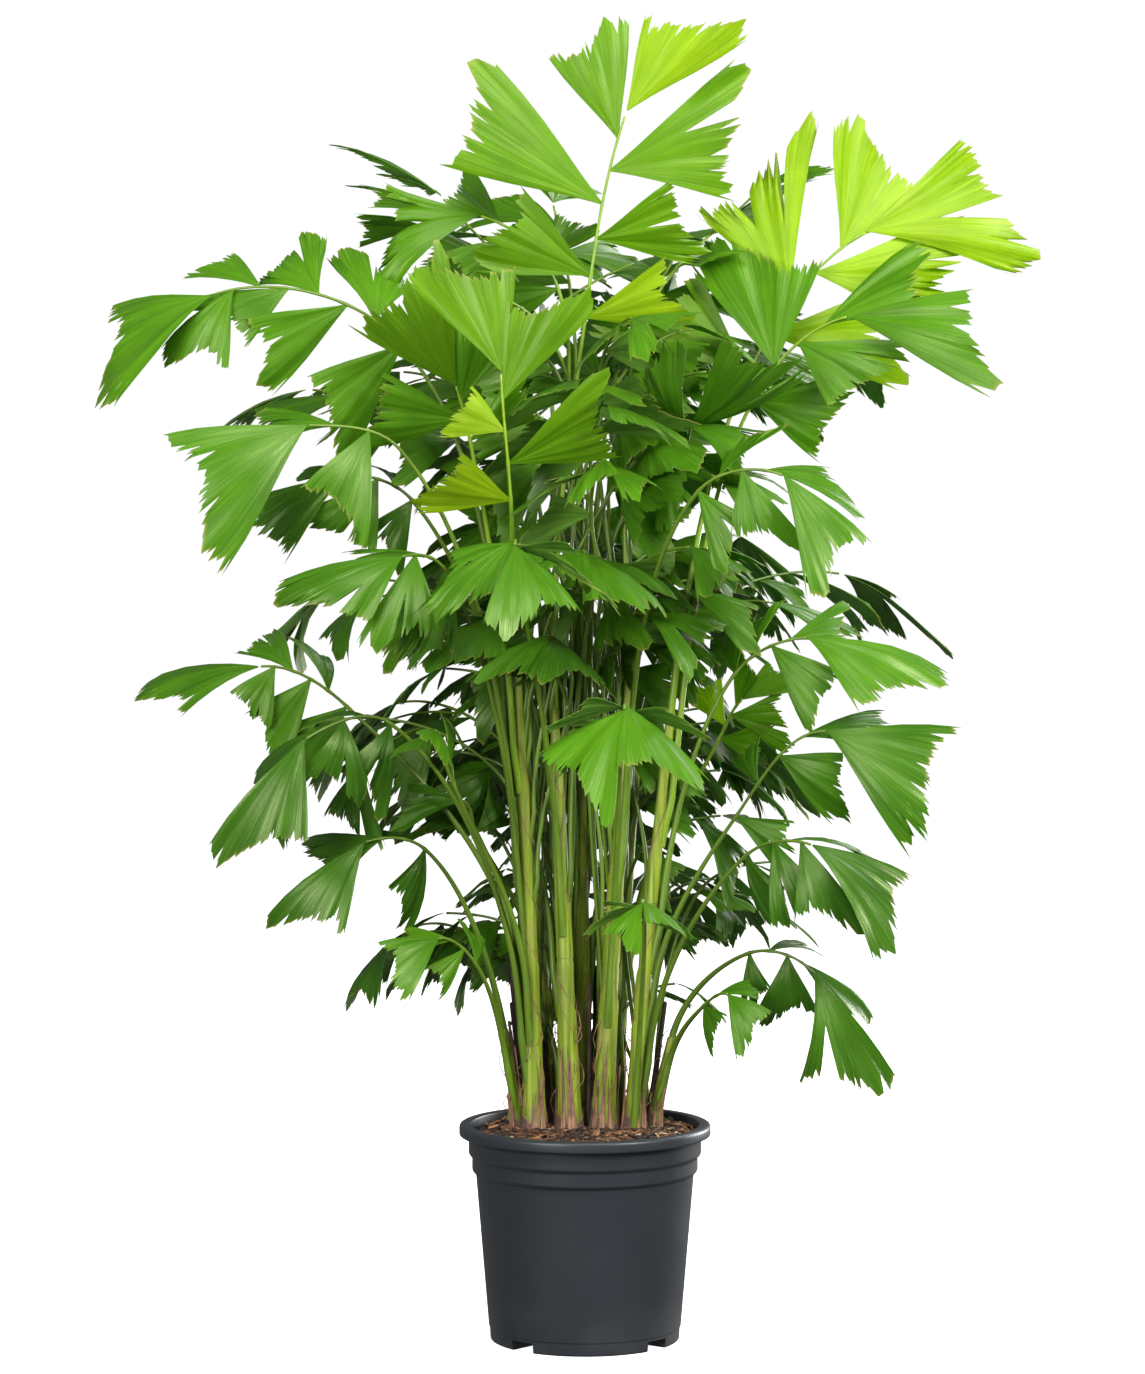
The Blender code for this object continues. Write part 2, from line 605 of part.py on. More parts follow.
def joined(name, body, parts, finish, operation="UNION"):
    """One solid of a body and its parts, by a Boolean on a collection."""
    base = solid(name, body, finish) if isinstance(body, tuple) else body
    group = bpy.data.collections.new(name + "_parts")
    bpy.context.scene.collection.children.link(group)
    for k, part in enumerate(parts):
        piece = solid(f"{name}_part_{k}", part, finish)
        bpy.context.scene.collection.objects.unlink(piece)
        group.objects.link(piece)
    result = None
    for solver in ("EXACT", "MANIFOLD"):
        cut = base.modifiers.new("join", "BOOLEAN")
        cut.operation, cut.solver = operation, solver
        cut.operand_type, cut.collection = "COLLECTION", group
        seen = base.evaluated_get(bpy.context.evaluated_depsgraph_get())
        result = bpy.data.meshes.new_from_object(seen)
        base.modifiers.remove(cut)
        if closed(result):
            break
    base.data = result
    for piece in list(group.objects):
        bpy.data.objects.remove(piece)
    bpy.data.collections.remove(group)
    return base


def box_shape(low, high, angle):
    """A box from corner to corner, turned about the pot's axis."""
    (x0, y0, z0), (x1, y1, z1) = low, high
    plan = (x0, y0), (x1, y0), (x1, y1), (x0, y1)
    verts = [turned(Vector((x, y, z)), UP, angle) for z in (z0, z1) for x, y in plan]
    return verts, [(3, 2, 1, 0), (4, 5, 6, 7), (0, 1, 5, 4), (1, 2, 6, 5), (2, 3, 7, 6), (3, 0, 4, 7)]


def make_pot():
    """The nursery pot: a turned shell, then the drain grooves and holes cut from below."""
    finish = material("pot_plastic", (0.028, 0.032, 0.038), 0.45)
    pot = turned_solid("pot", pot_profile(), finish)
    cutters = []
    for k in range(GROOVES):
        angle = GROOVE_TURN + math.tau * k / GROOVES
        cutters.append(box_shape((GROOVE_INNER, -GROOVE_WIDTH / 2, -GROOVE_DEPTH),
                                 (RIM_RADIUS, GROOVE_WIDTH / 2, GROOVE_DEPTH), angle))
        hole = turned(Vector((DRAIN_AT, 0.0, 0.0)), UP, angle)
        cutters.append(tube([hole + UP * GROOVE_DEPTH * 0.5, hole + UP * (FLOOR + WALL)],
                            [DRAIN_RADIUS] * 2, DRAIN_SIDES, Vector((1.0, 0.0, 0.0))))
    return joined("pot", pot, cutters, finish, "DIFFERENCE")


def make_soil():
    """The compost that fills the pot."""
    return turned_solid("soil", soil_profile(), material("compost", (0.10, 0.055, 0.03), 0.95))


def make_canes():
    """The green canes of the clump."""
    finish = material("cane_green", (0.16, 0.30, 0.05), 0.45)
    for name, cane in CANES.items():
        solid(name, cane_shape(cane), finish)


def make_fronds():
    """Each frond as one solid: petiole, rachis and blades."""
    young, old = Vector((0.30, 0.52, 0.06)), Vector((0.04, 0.16, 0.03))
    ages = {**FRONDS, **fill_fronds()}
    routes, pinnae, leaflets = grow()
    for name, route in routes.items():
        finish = material(name + "_green", blend(young, old, ages[name].age), 0.5)
        parts = [pinna_tube(points) for points in pinnae[name]]
        parts += [blade(leaflet) for leaflet in leaflets[name]]
        joined(name, rachis_tube(*route), parts, finish)


def main():
    """Clear the scene and model every sub-part."""
    for made in list(bpy.data.objects):
        bpy.data.objects.remove(made)
    make_pot()
    make_soil()
    make_canes()
    make_fronds()


if __name__ == "__main__":
    main()
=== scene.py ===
"""Looks of the potted fishtail palm: fine leaves, canes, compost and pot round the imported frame.

Metres, +Z up, the front looks along +Y, the origin is the centre of the pot's underside.
The crown grows by the same rule as the plant's solids, so every fine leaf lies where its solid is.
"""
import functools
import json
import math
import random
from collections import namedtuple

import bpy
import numpy as np
from mathutils import Matrix, Vector, noise
from mathutils.bvhtree import BVHTree

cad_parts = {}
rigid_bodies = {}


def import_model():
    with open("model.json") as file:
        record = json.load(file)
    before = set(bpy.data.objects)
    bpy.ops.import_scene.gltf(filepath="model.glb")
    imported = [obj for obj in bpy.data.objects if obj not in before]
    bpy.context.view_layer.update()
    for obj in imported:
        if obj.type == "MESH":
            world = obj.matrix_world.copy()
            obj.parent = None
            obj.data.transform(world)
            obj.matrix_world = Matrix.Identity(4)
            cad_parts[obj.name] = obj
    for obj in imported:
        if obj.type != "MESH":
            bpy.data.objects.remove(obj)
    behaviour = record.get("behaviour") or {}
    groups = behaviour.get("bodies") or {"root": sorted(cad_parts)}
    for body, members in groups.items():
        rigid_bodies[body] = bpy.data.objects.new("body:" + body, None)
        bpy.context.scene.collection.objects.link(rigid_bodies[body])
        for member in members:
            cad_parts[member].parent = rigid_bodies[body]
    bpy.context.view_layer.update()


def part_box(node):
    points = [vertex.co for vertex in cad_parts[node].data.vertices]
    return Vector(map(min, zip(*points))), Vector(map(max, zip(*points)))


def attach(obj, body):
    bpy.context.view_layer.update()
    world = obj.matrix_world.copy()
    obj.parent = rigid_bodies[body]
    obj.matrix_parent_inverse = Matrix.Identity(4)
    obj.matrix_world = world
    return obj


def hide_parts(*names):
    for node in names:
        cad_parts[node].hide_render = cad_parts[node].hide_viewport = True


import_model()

bl_info = {
    "name": "Potted fishtail palm",
    "version": (1, 0, 0),
    "blender": (4, 5, 0),
    "location": "3D View > Sidebar > Fishtail palm",
    "description": "Grows the fine leaves, canes, compost and pot of a potted fishtail palm",
    "category": "Add Mesh",
}

BODY = "root"
GAP = 0.0003
UP = Vector((0.0, 0.0, 1.0))
FRONT = Vector((0.0, -1.0, 0.0))

# Pot: radii and heights of its turned wall
POT_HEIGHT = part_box("pot")[1].z
BASE_RADIUS = 0.1055
WALL_TOP_RADIUS = 0.1210
RIM_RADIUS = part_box("pot")[1].x
RIM_HEIGHT = 0.0125
WALL = 0.0025
FLOOR = 0.0150
COLLAR_RADII = (0.1290, 0.1252)
COLLAR_BOTTOMS = (0.2035, 0.1850)
COLLAR_SLOPE = 0.0035
GROOVES = 4
GROOVE_DEPTH = 0.0115
GROOVE_WIDTH = 0.0300
GROOVE_INNER = 0.0560
GROOVE_TURN = math.radians(49.0)
DRAIN_RADIUS = 0.0085
DRAIN_AT = 0.0780
LEDGE_HEIGHT = 0.0145

# Compost that fills the pot
SOIL_TOP = 0.2320
SOIL_EDGE = 0.2265
SOIL_FLAT_RADIUS = 0.0980

# Canes: foot and top in metres, radius at the foot and under the top leaf
Cane = namedtuple("Cane", "foot top foot_radius top_radius")
CANES = {
    "stem_far_left": Cane((-0.074, 0.010), (-0.090, 0.000, 0.345), 0.0068, 0.0050),
    "stem_left": Cane((-0.056, -0.006), (-0.076, -0.012, 0.760), 0.0118, 0.0062),
    "stem_middle": Cane((-0.017, 0.004), (-0.034, 0.008, 0.700), 0.0125, 0.0068),
    "stem_right": Cane((0.021, 0.000), (0.050, 0.000, 0.740), 0.0125, 0.0066),
    "stem_far_right": Cane((0.055, -0.004), (0.094, -0.006, 0.690), 0.0105, 0.0060),
    "stem_low_right": Cane((0.076, 0.012), (0.097, 0.008, 0.335), 0.0070, 0.0050),
    "stem_back_left": Cane((-0.040, 0.052), (-0.066, 0.086, 0.640), 0.0100, 0.0058),
    "stem_back_middle": Cane((-0.002, 0.040), (-0.006, 0.060, 0.720), 0.0112, 0.0060),
    "stem_back_right": Cane((0.034, 0.055), (0.060, 0.090, 0.660), 0.0105, 0.0058),
}
CANE_SIDES = 8
CANE_STEPS = 5
FLARE = 0.30
FLARE_HEIGHT = 0.045

# Fronds: the cane each leaves and at what height (None for its tip), the hub where its
# first leaflet sits, the rachis tip, the pitch of the rachis there, the roll of its flat
# towards the front, its age from 0, young and stiff, to 1, drooping, and the lengths of
# its leaflets from hub to tip, minus for those on the left seen up the rachis
Frond = namedtuple("Frond", "cane leave hub tip pitch roll age leaves")
FRONDS = {
    "frond_top": Frond(
        "stem_middle", None, (0.000, 0.000, 1.130), (0.047, -0.020, 1.358), 68, 86, 0.08,
        (0.13, -0.15, 0.135, -0.225, 0.20, -0.145, 0.165)),
    "frond_top_left": Frond(
        "stem_back_left", None, (-0.030, 0.060, 1.165), (-0.120, 0.040, 1.245), 10, 60, 0.3,
        (-0.085, 0.09, -0.11, 0.105, -0.145)),
    "frond_bright_right": Frond(
        "stem_far_right", None, (0.180, 0.030, 1.070), (0.315, 0.050, 1.230), 30, 74, 0.05,
        (-0.185, 0.17, -0.215, 0.212, -0.165, 0.195)),
    "frond_upper_right": Frond(
        "stem_far_right", 0.6, (0.185, 0.000, 1.040), (0.290, -0.050, 1.130), 8, 58, 0.34,
        (0.12, -0.18, 0.13, -0.15, 0.205)),
    "frond_dark_fan": Frond(
        "stem_right", None, (0.105, 0.000, 0.970), (0.115, -0.040, 1.010), 60, 65, 0.6,
        (-0.11, 0.1, -0.125, 0.178)),
    "frond_bright_left": Frond(
        "stem_left", None, (-0.080, -0.120, 0.930), (-0.090, -0.150, 1.070), 84, 86, 0.05,
        (-0.115, 0.155, -0.075, 0.15, -0.145)),
    "frond_light_left": Frond(
        "stem_left", 0.66, (-0.125, -0.060, 0.995), (-0.140, -0.080, 1.055), 62, 76, 0.18,
        (0.11, -0.13, 0.12, -0.165)),
    "frond_upper_left": Frond(
        "stem_left", 0.6, (-0.200, -0.030, 1.100), (-0.410, -0.060, 1.150), -22, 62, 0.42,
        (-0.165, 0.125, -0.140, 0.105, -0.110, 0.095, -0.115, 0.180)),
    "frond_arching_left": Frond(
        "stem_left", 0.52, (-0.200, -0.090, 0.985), (-0.300, -0.130, 1.010), 0, 50, 0.5,
        (0.12, -0.13, 0.105, -0.19)),
    "frond_under_left": Frond(
        "stem_back_left", 0.48, (-0.190, -0.010, 0.930), (-0.265, -0.030, 0.955), -12, 45, 0.75,
        (-0.085, 0.075, -0.115, 0.105, -0.145)),
    "frond_mid_left": Frond(
        "stem_left", 0.44, (-0.150, -0.130, 0.855), (-0.195, -0.190, 0.870), -12, 42, 0.65,
        (-0.135, 0.11, -0.14, 0.148)),
    "frond_front_left": Frond(
        "stem_middle", 0.5, (-0.072, -0.180, 0.862), (-0.074, -0.235, 0.882), -66, 6, 0.50,
        (0.100, -0.135, 0.135, -0.125)),
    "frond_side_left": Frond(
        "stem_left", 0.4, (-0.260, -0.050, 0.705), (-0.355, -0.090, 0.750), -8, 52, 0.6,
        (-0.105, 0.095, -0.11, 0.095, -0.075, 0.155)),
    "frond_low_left": Frond(
        "stem_left", 0.34, (-0.210, -0.110, 0.690), (-0.300, -0.170, 0.675), -28, 40, 0.8,
        (-0.11, 0.09, -0.095, 0.13, -0.168)),
    "frond_inner_left": Frond(
        "stem_left", 0.38, (-0.150, -0.110, 0.645), (-0.160, -0.160, 0.685), 0, 40, 0.6,
        (0.08, -0.075, 0.065, -0.08)),
    "frond_drooping_left": Frond(
        "stem_far_left", None, (-0.175, -0.060, 0.550), (-0.240, -0.100, 0.560), -16, 42, 0.8,
        (-0.098, 0.085, 0.115, -0.148)),
    "frond_lowest_left": Frond(
        "stem_far_left", 0.3, (-0.120, -0.060, 0.425), (-0.160, -0.090, 0.455), -8, 48, 0.5,
        (0.058, -0.065, 0.068, -0.09)),
    "frond_behind_left": Frond(
        "stem_back_left", 0.4, (-0.120, -0.020, 0.565), (-0.135, -0.030, 0.600), 0, 40, 0.75,
        (0.08, -0.095, 0.1)),
    "frond_front_right": Frond(
        "stem_right", 0.54, (0.120, -0.160, 0.940), (0.210, -0.210, 0.955), -24, 52, 0.60,
        (0.1, -0.09, 0.11, -0.12, 0.15)),
    "frond_side_right": Frond(
        "stem_far_right", 0.46, (0.165, -0.020, 0.740), (0.245, -0.050, 0.780), 0, 50, 0.5,
        (-0.108, -0.1, 0.12, -0.095, 0.165)),
    "frond_clump_right": Frond(
        "stem_back_right", 0.44, (0.150, 0.040, 0.665), (0.175, 0.020, 0.710), 35, 62, 0.12,
        (0.07, -0.075, 0.08, -0.075, 0.08)),
    "frond_low_right": Frond(
        "stem_far_right", 0.38, (0.165, -0.050, 0.585), (0.265, -0.090, 0.680), -6, 46, 0.65,
        (0.1, -0.075, 0.11, -0.15, 0.172)),
    "frond_dark_right": Frond(
        "stem_far_right", 0.31, (0.175, -0.080, 0.545), (0.245, -0.130, 0.560), -14, 42, 0.8,
        (0.088, -0.07, 0.1, -0.13, 0.125, -0.15)),
    "frond_drooping_right": Frond(
        "stem_low_right", None, (0.180, -0.050, 0.435), (0.250, -0.090, 0.415), -48, 45, 0.8,
        (0.08, -0.075, 0.092, -0.12, 0.165)),
    "frond_lowest_right": Frond(
        "stem_low_right", 0.3, (0.130, -0.070, 0.380), (0.155, -0.100, 0.395), -16, 42, 0.65,
        (0.065, -0.055, 0.082)),
    "frond_front": Frond(
        "stem_right", 0.4, (0.040, -0.145, 0.688), (0.041, -0.195, 0.708), -72, 20, 0.40,
        (0.095, -0.105, 0.105, -0.135, 0.150)),
    "frond_front_low": Frond(
        "stem_far_right", 0.27, (0.064, -0.115, 0.476), (0.060, -0.155, 0.499), -60, 0, 0.35,
        (-0.062, 0.075, -0.07, 0.080)),
}

# Fronds at the back, by level: count, turn of the first in degrees, hub height and reach,
# tip reach and rise, pitch, age, number of leaflets and their length
FILL_LEVELS = (
    (4, 20, 1.10, 0.07, 0.20, 0.150, 45, 0.30, 5, 0.170),
    (5, 40, 0.97, 0.09, 0.32, 0.110, 0, 0.55, 5, 0.170),
    (5, 22, 0.80, 0.10, 0.31, 0.070, -12, 0.70, 4, 0.165),
    (5, 50, 0.62, 0.10, 0.28, 0.050, -18, 0.80, 4, 0.155),
    (3, 45, 0.45, 0.10, 0.22, 0.030, -25, 0.75, 4, 0.130),
)
FILL_ARC = 160.0
FILL_HEIGHT_SPREAD = 0.05
FILL_ROLL = 20
FILL_LEAVE = 0.74

# Side rachises of the back fronds: where on the rachis, side, length and leaflet lengths
Pinna = namedtuple("Pinna", "share side length leaves")
FILL_PINNAE = (
    Pinna(0.20, 1.0, 0.100, (-0.095, 0.100, -0.115)),
    Pinna(0.45, -1.0, 0.090, (0.100, -0.110)),
)
PINNA_STEPS = 1
PINNA_SPREAD = math.radians(52.0)
PINNA_DROOP = 0.35

# Petiole and rachis, three-sided and tapering
RACHIS_SIDES = 3
BACK_FROM = 0.06
PETIOLE_STEPS = 4
RACHIS_STEPS = 3
SHEATH = 0.008
FOOT_PULL, HUB_PULL = 1.1, 0.8
PETIOLE_RADIUS = 0.0042
RACHIS_RADIUS = 0.0020
TIP_RADIUS = 0.0014

# Leaflets: a wedge from the rachis to a torn end, whose tip lies towards the frond's tip
FIRST_SPREAD = math.radians(64.0)
LAST_SPREAD = math.radians(50.0)
PAIR_SPREAD = math.radians(32.0)
END_SPREAD = math.radians(14.0)
HALF_OPENING = math.radians(26.0)
FALL_OF_OLD = math.radians(28.0)
BEND_OF_OLD = 1.25
NOTCH = 0.20
THICKNESS_SHARE = 0.013
BASE_WIDE = 0.0014
BASE_DEEP = 0.0009
CLEARANCE = 0.0012
INNER_FACES = 8

Leaflet = namedtuple("Leaflet", "root along across normal length opening peak sides bend cup")

# Fine leaf: rows from stalk to torn end, as shares of the reach on each ray
LEAF_ROWS = (0.0, 0.07, 0.20, 0.37, 0.56, 0.76, 0.91, 1.0)
INNER_ROWS = (0.0, 0.14, 0.48, 0.82, 1.0)
LEAVES_A_PIECE = 110
STALK_HALF_WIDTH = 0.0010
FINE_STEPS = 7
FINE_SIDES = 9
BETWEEN_SIZE = 0.62

# Young shoots inside the clump, by level: count, turn of the first, foot reach, hub height
# and reach, tip reach and rise, age, number of leaflets and their length
SHOOT_LEVELS = (
    (8, 25, 0.045, 1.05, 0.04, 0.14, 0.060, 0.45, 5, 0.120),
    (9, 10, 0.045, 0.97, 0.05, 0.15, 0.060, 0.50, 5, 0.125),
    (10, 40, 0.055, 0.88, 0.05, 0.16, 0.050, 0.60, 5, 0.120),
    (10, 15, 0.062, 0.79, 0.06, 0.17, 0.050, 0.66, 5, 0.115),
    (8, 50, 0.066, 0.69, 0.06, 0.18, 0.045, 0.70, 4, 0.110),
    (7, 20, 0.070, 0.58, 0.07, 0.18, 0.040, 0.70, 4, 0.105),
    (6, 35, 0.072, 0.48, 0.07, 0.17, 0.030, 0.70, 4, 0.095),
    (5, 0, 0.075, 0.38, 0.05, 0.12, 0.030, 0.60, 3, 0.080),
    (6, 0, 0.080, 0.52, 0.13, 0.22, 0.030, 0.60, 4, 0.090),
)
SHOOT_TRIES = 120
SHOOT_RADIUS = 0.0025
SHOOT_LOWEST = 0.36
FRONT_FROM = 0.74
FROM_CANE = 0.65

# Tints of the leaves: the slot they belong to, the age they suit, upper face, ribs, under
# face, roughness and the share of light that passes through
Tint = namedtuple("Tint", "name slot age upper rib under roughness glow")
TINTS = (
    Tint("lime", "frond_young", 0.02, (0.285, 0.435, 0.004), (0.400, 0.545, 0.022),
         (0.290, 0.440, 0.010), 0.34, 0.40),
    Tint("spring", "frond_young", 0.12, (0.120, 0.278, 0.003), (0.195, 0.375, 0.014),
         (0.145, 0.310, 0.010), 0.33, 0.36),
    Tint("grass", "frond_young", 0.28, (0.082, 0.235, 0.004), (0.138, 0.320, 0.014),
         (0.120, 0.285, 0.014), 0.32, 0.34),
    Tint("leaf", "frond_mid", 0.42, (0.086, 0.245, 0.006), (0.150, 0.335, 0.022),
         (0.150, 0.320, 0.034), 0.31, 0.32),
    Tint("meadow", "frond_mid", 0.55, (0.068, 0.205, 0.006), (0.122, 0.285, 0.020),
         (0.126, 0.275, 0.032), 0.30, 0.30),
    Tint("moss", "frond_old", 0.65, (0.053, 0.168, 0.005), (0.098, 0.240, 0.018),
         (0.106, 0.238, 0.030), 0.29, 0.27),
    Tint("bottle", "frond_old", 0.78, (0.038, 0.128, 0.005), (0.075, 0.190, 0.016),
         (0.084, 0.195, 0.028), 0.28, 0.24),
)
SHEEN = (0.94, 1.00, 0.56)
AGE_LIMITS = (("frond_young", 0.35), ("frond_mid", 0.62), ("frond_old", 2.0))
STALK_GREENS = {
    "frond_young": ((0.215, 0.360, 0.014), (0.125, 0.225, 0.010)),
    "frond_mid": ((0.130, 0.230, 0.011), (0.070, 0.130, 0.007)),
    "frond_old": ((0.112, 0.200, 0.010), (0.060, 0.112, 0.006)),
}


class LeafFinish(bpy.types.PropertyGroup):
    """Sizes of the fine leaves."""
    teeth: bpy.props.IntProperty(
        name="Teeth", description="Torn teeth across a leaf's end", default=11, min=5, max=40)
    depth: bpy.props.FloatProperty(
        name="Tooth depth", description="Depth of a tooth as a share of the leaf", default=0.068)
    step: bpy.props.FloatProperty(
        name="Lobe step", description="How far lobes stand out as a share of the leaf", default=0.092)
    split: bpy.props.FloatProperty(
        name="Splits", description="Chance that a leaf is split deep along a rib", default=0.32)
    thickness: bpy.props.FloatProperty(
        name="Thickness", description="Thickness of a leaf", default=0.0007, unit="LENGTH")
    pleat: bpy.props.FloatProperty(
        name="Pleat depth", description="Depth of the pleats as a share of their width", default=0.05)
    fold: bpy.props.FloatProperty(
        name="Fold depth", description="Height of the broad folds as a share of the leaf", default=0.027)
    wave: bpy.props.FloatProperty(
        name="Wave", description="Height of the leaf's slow waves as a share of its length", default=0.022)
    ribs: bpy.props.IntProperty(
        name="Ribs", description="Fine ribs across a leaf", default=34)


class CaneFinish(bpy.types.PropertyGroup):
    """Colours and sizes of the canes, their sheaths and fibres."""
    green: bpy.props.FloatVectorProperty(
        name="Cane green", description="Green of the canes", subtype="COLOR", size=3,
        default=(0.260, 0.335, 0.020))
    shade: bpy.props.FloatVectorProperty(
        name="Cane shade", description="Darker streaks of the canes", subtype="COLOR", size=3,
        default=(0.105, 0.165, 0.010))
    papery: bpy.props.FloatVectorProperty(
        name="Dry sheath", description="Pinkish tan of the dry sheaths", subtype="COLOR", size=3,
        default=(0.300, 0.160, 0.088))
    fibre: bpy.props.FloatVectorProperty(
        name="Fibre", description="Dark brown of the fibres", subtype="COLOR", size=3,
        default=(0.075, 0.038, 0.020))
    cup: bpy.props.FloatVectorProperty(
        name="Lowest sheath", description="Purplish brown of the sheath at a cane's foot", subtype="COLOR", size=3,
        default=(0.125, 0.066, 0.044))
    # Partly the rotted stubs' own brown and partly painted shade: it is made very dark to stand in for the shadow
    # between the canes
    rotten: bpy.props.FloatVectorProperty(
        name="Rotten and shade", description="Dark brown of the stubs between the canes", subtype="COLOR", size=3,
        default=(0.050, 0.028, 0.019))
    sides: bpy.props.IntProperty(name="Sides", description="Sides round a cane", default=28)
    rings: bpy.props.IntProperty(name="Rings", description="Rings along a cane", default=90)


class CompostFinish(bpy.types.PropertyGroup):
    """Amounts and colours of the compost and bark."""
    chips: bpy.props.IntProperty(name="Chips", description="Pieces of bark on the compost", default=1050)
    shreds: bpy.props.IntProperty(name="Shreds", description="Curled fibres on the compost", default=900)
    earth: bpy.props.FloatVectorProperty(
        name="Earth", description="Brown of the compost", subtype="COLOR", size=3,
        default=(0.018, 0.009, 0.005))


class PotFinish(bpy.types.PropertyGroup):
    """Colours and fineness of the nursery pot."""
    plastic: bpy.props.FloatVectorProperty(
        name="Plastic", description="Charcoal of the pot", subtype="COLOR", size=3,
        default=(0.0200, 0.0235, 0.0278))
    dust: bpy.props.FloatVectorProperty(
        name="Dust", description="Pale scuffs and dust", subtype="COLOR", size=3,
        default=(0.075, 0.078, 0.078))
    sides: bpy.props.IntProperty(name="Sides", description="Sides round the pot", default=144)


class StudioFinish(bpy.types.PropertyGroup):
    """Floor, light and camera."""
    floor: bpy.props.FloatVectorProperty(
        name="Floor", description="Pale floor", subtype="COLOR", size=3, default=(0.90, 0.90, 0.90))
    floor_glow: bpy.props.FloatProperty(
        name="Floor glow", description="Light of its own that keeps the floor white", default=0.88)
    sky: bpy.props.FloatProperty(name="Sky", description="Strength of the surroundings' light", default=0.19)
    key: bpy.props.FloatProperty(name="Key light", description="Power of the key light", default=160.0, unit="POWER")
    fill: bpy.props.FloatProperty(name="Fill light", description="Power of the fill light", default=110.0, unit="POWER")
    front: bpy.props.FloatProperty(
        name="Front light", description="Power of the high front light", default=98.0, unit="POWER")
    back: bpy.props.FloatProperty(name="Back light", description="Power of the back light", default=62.0, unit="POWER")
    edge: bpy.props.FloatProperty(
        name="Edge light", description="Power of the low light from behind on the right", default=95.0, unit="POWER")
    focal: bpy.props.FloatProperty(name="Focal length", description="Lens in millimetres", default=106.98)
    camera_place: bpy.props.FloatVectorProperty(
        name="Camera", description="Place of the camera", size=3, default=(-0.0138, -4.5, 0.94), unit="LENGTH")
    camera_dip: bpy.props.FloatProperty(
        name="Dip", description="How far the camera looks down", default=math.radians(2.748), subtype="ANGLE")


def turned(vector, axis, angle):
    """The vector turned by an angle about an axis."""
    return Matrix.Rotation(angle, 3, axis) @ vector


def blend(a, b, share):
    """The value or point a share of the way from a to b."""
    return a + (b - a) * share


def hermite(start, start_pull, end, end_pull, share):
    """A point of the smooth curve between two ends with given pulls."""
    s2, s3 = share * share, share ** 3
    return (start * (2 * s3 - 3 * s2 + 1) + start_pull * (s3 - 2 * s2 + share)
            + end * (3 * s2 - 2 * s3) + end_pull * (s3 - s2))


def cane_point(cane, share):
    """A point of a cane's axis, which leans out more as it rises."""
    foot = Vector((*cane.foot, SOIL_TOP + GAP))
    lean = blend(foot, Vector(cane.top), share ** 1.3)
    return Vector((lean.x, lean.y, blend(foot.z, cane.top[2], share)))


def cane_radius(cane, share):
    """A cane's radius, with its flare at the foot."""
    height = (cane.top[2] - SOIL_TOP) * share
    flare = FLARE * max(0.0, 1.0 - height / FLARE_HEIGHT) ** 2
    return blend(cane.foot_radius, cane.top_radius, share) * (1.0 + flare)


def cane_tangent(cane, share):
    """The direction in which a cane grows at a share of its height."""
    low, high = max(0.0, share - 0.02), min(1.0, share + 0.02)
    return (cane_point(cane, high) - cane_point(cane, low)).normalized()


def tube(points, radii, sides, towards, foot=None):
    """A closed tube along points, its first ring square to foot where that is given."""
    verts, faces = [], []
    side = None
    for i, point in enumerate(points):
        tangent = (points[min(i + 1, len(points) - 1)] - points[max(i - 1, 0)]).normalized()
        tangent = foot if foot and i == 0 else tangent
        side = towards if side is None else side
        side = (side - tangent * side.dot(tangent)).normalized()
        for k in range(sides):
            verts.append(point + turned(side, tangent, math.tau * k / sides) * radii[i])
    for i in range(len(points) - 1):
        for k in range(sides):
            a, b = i * sides + k, i * sides + (k + 1) % sides
            faces.append((a, b, b + sides, a + sides))
    last = (len(points) - 1) * sides
    faces += [(0, k + 1, k) for k in range(1, sides - 1)]
    faces += [(last, last + k, last + k + 1) for k in range(1, sides - 1)]
    return verts, faces


def rachis_route(frond, turn=0.0, shift=0.0, lift=0.0, finer=1):
    """Points of a frond's petiole, then of its rachis, and the direction to its cane."""
    cane = CANES.get(frond.cane)
    hub = Vector(frond.hub) + Vector((0.0, shift, 0.0))
    tip = Vector(frond.tip)
    if cane is None:
        start = Vector(frond.leave)
        tangent = UP
        inward = -(hub - start)
    elif frond.leave is None:
        start = cane_point(cane, 1.0) + cane_tangent(cane, 1.0) * GAP
        tangent = cane_tangent(cane, 1.0)
        inward = -(hub - start)
    else:
        share = (frond.leave + lift - SOIL_TOP) / (cane.top[2] - SOIL_TOP)
        tangent = cane_tangent(cane, share)
        outward = turned(hub - cane_point(cane, share), UP, turn)
        outward = (outward - tangent * outward.dot(tangent)).normalized()
        side = tree_of(cane_shape(cane)).ray_cast(cane_point(cane, share), outward)[0]
        start = side + outward * (PETIOLE_RADIUS + GAP)
        inward = -outward
    first, second = hub - start, tip - hub
    middle = (first.normalized() + second.normalized() * 0.8).normalized()
    level = Vector((second.x, second.y, 0.0)).normalized()
    pitch = math.radians(frond.pitch)
    end = level * math.cos(pitch) + UP * math.sin(pitch)
    rise, arrive = tangent * (first.length * FOOT_PULL), middle * (first.length * HUB_PULL)
    steps, far_steps = PETIOLE_STEPS * finer, RACHIS_STEPS * finer
    petiole = [hermite(start, rise, hub, arrive, k / steps) for k in range(steps)]
    petiole.insert(1, start + tangent * SHEATH)
    rachis = [hermite(hub, middle * second.length, tip, end * second.length, k / far_steps)
              for k in range(far_steps + 1)]
    return petiole, rachis, inward


def rachis_tube(petiole, rachis, inward, extra=0.0):
    """The solid of a petiole and its rachis, thicker all round by extra."""
    radii = [blend(PETIOLE_RADIUS, RACHIS_RADIUS, k / len(petiole)) for k in range(len(petiole))]
    radii += [blend(RACHIS_RADIUS, TIP_RADIUS, k / RACHIS_STEPS) for k in range(RACHIS_STEPS + 1)]
    return tube(petiole + rachis, [radius + extra for radius in radii], RACHIS_SIDES, inward)


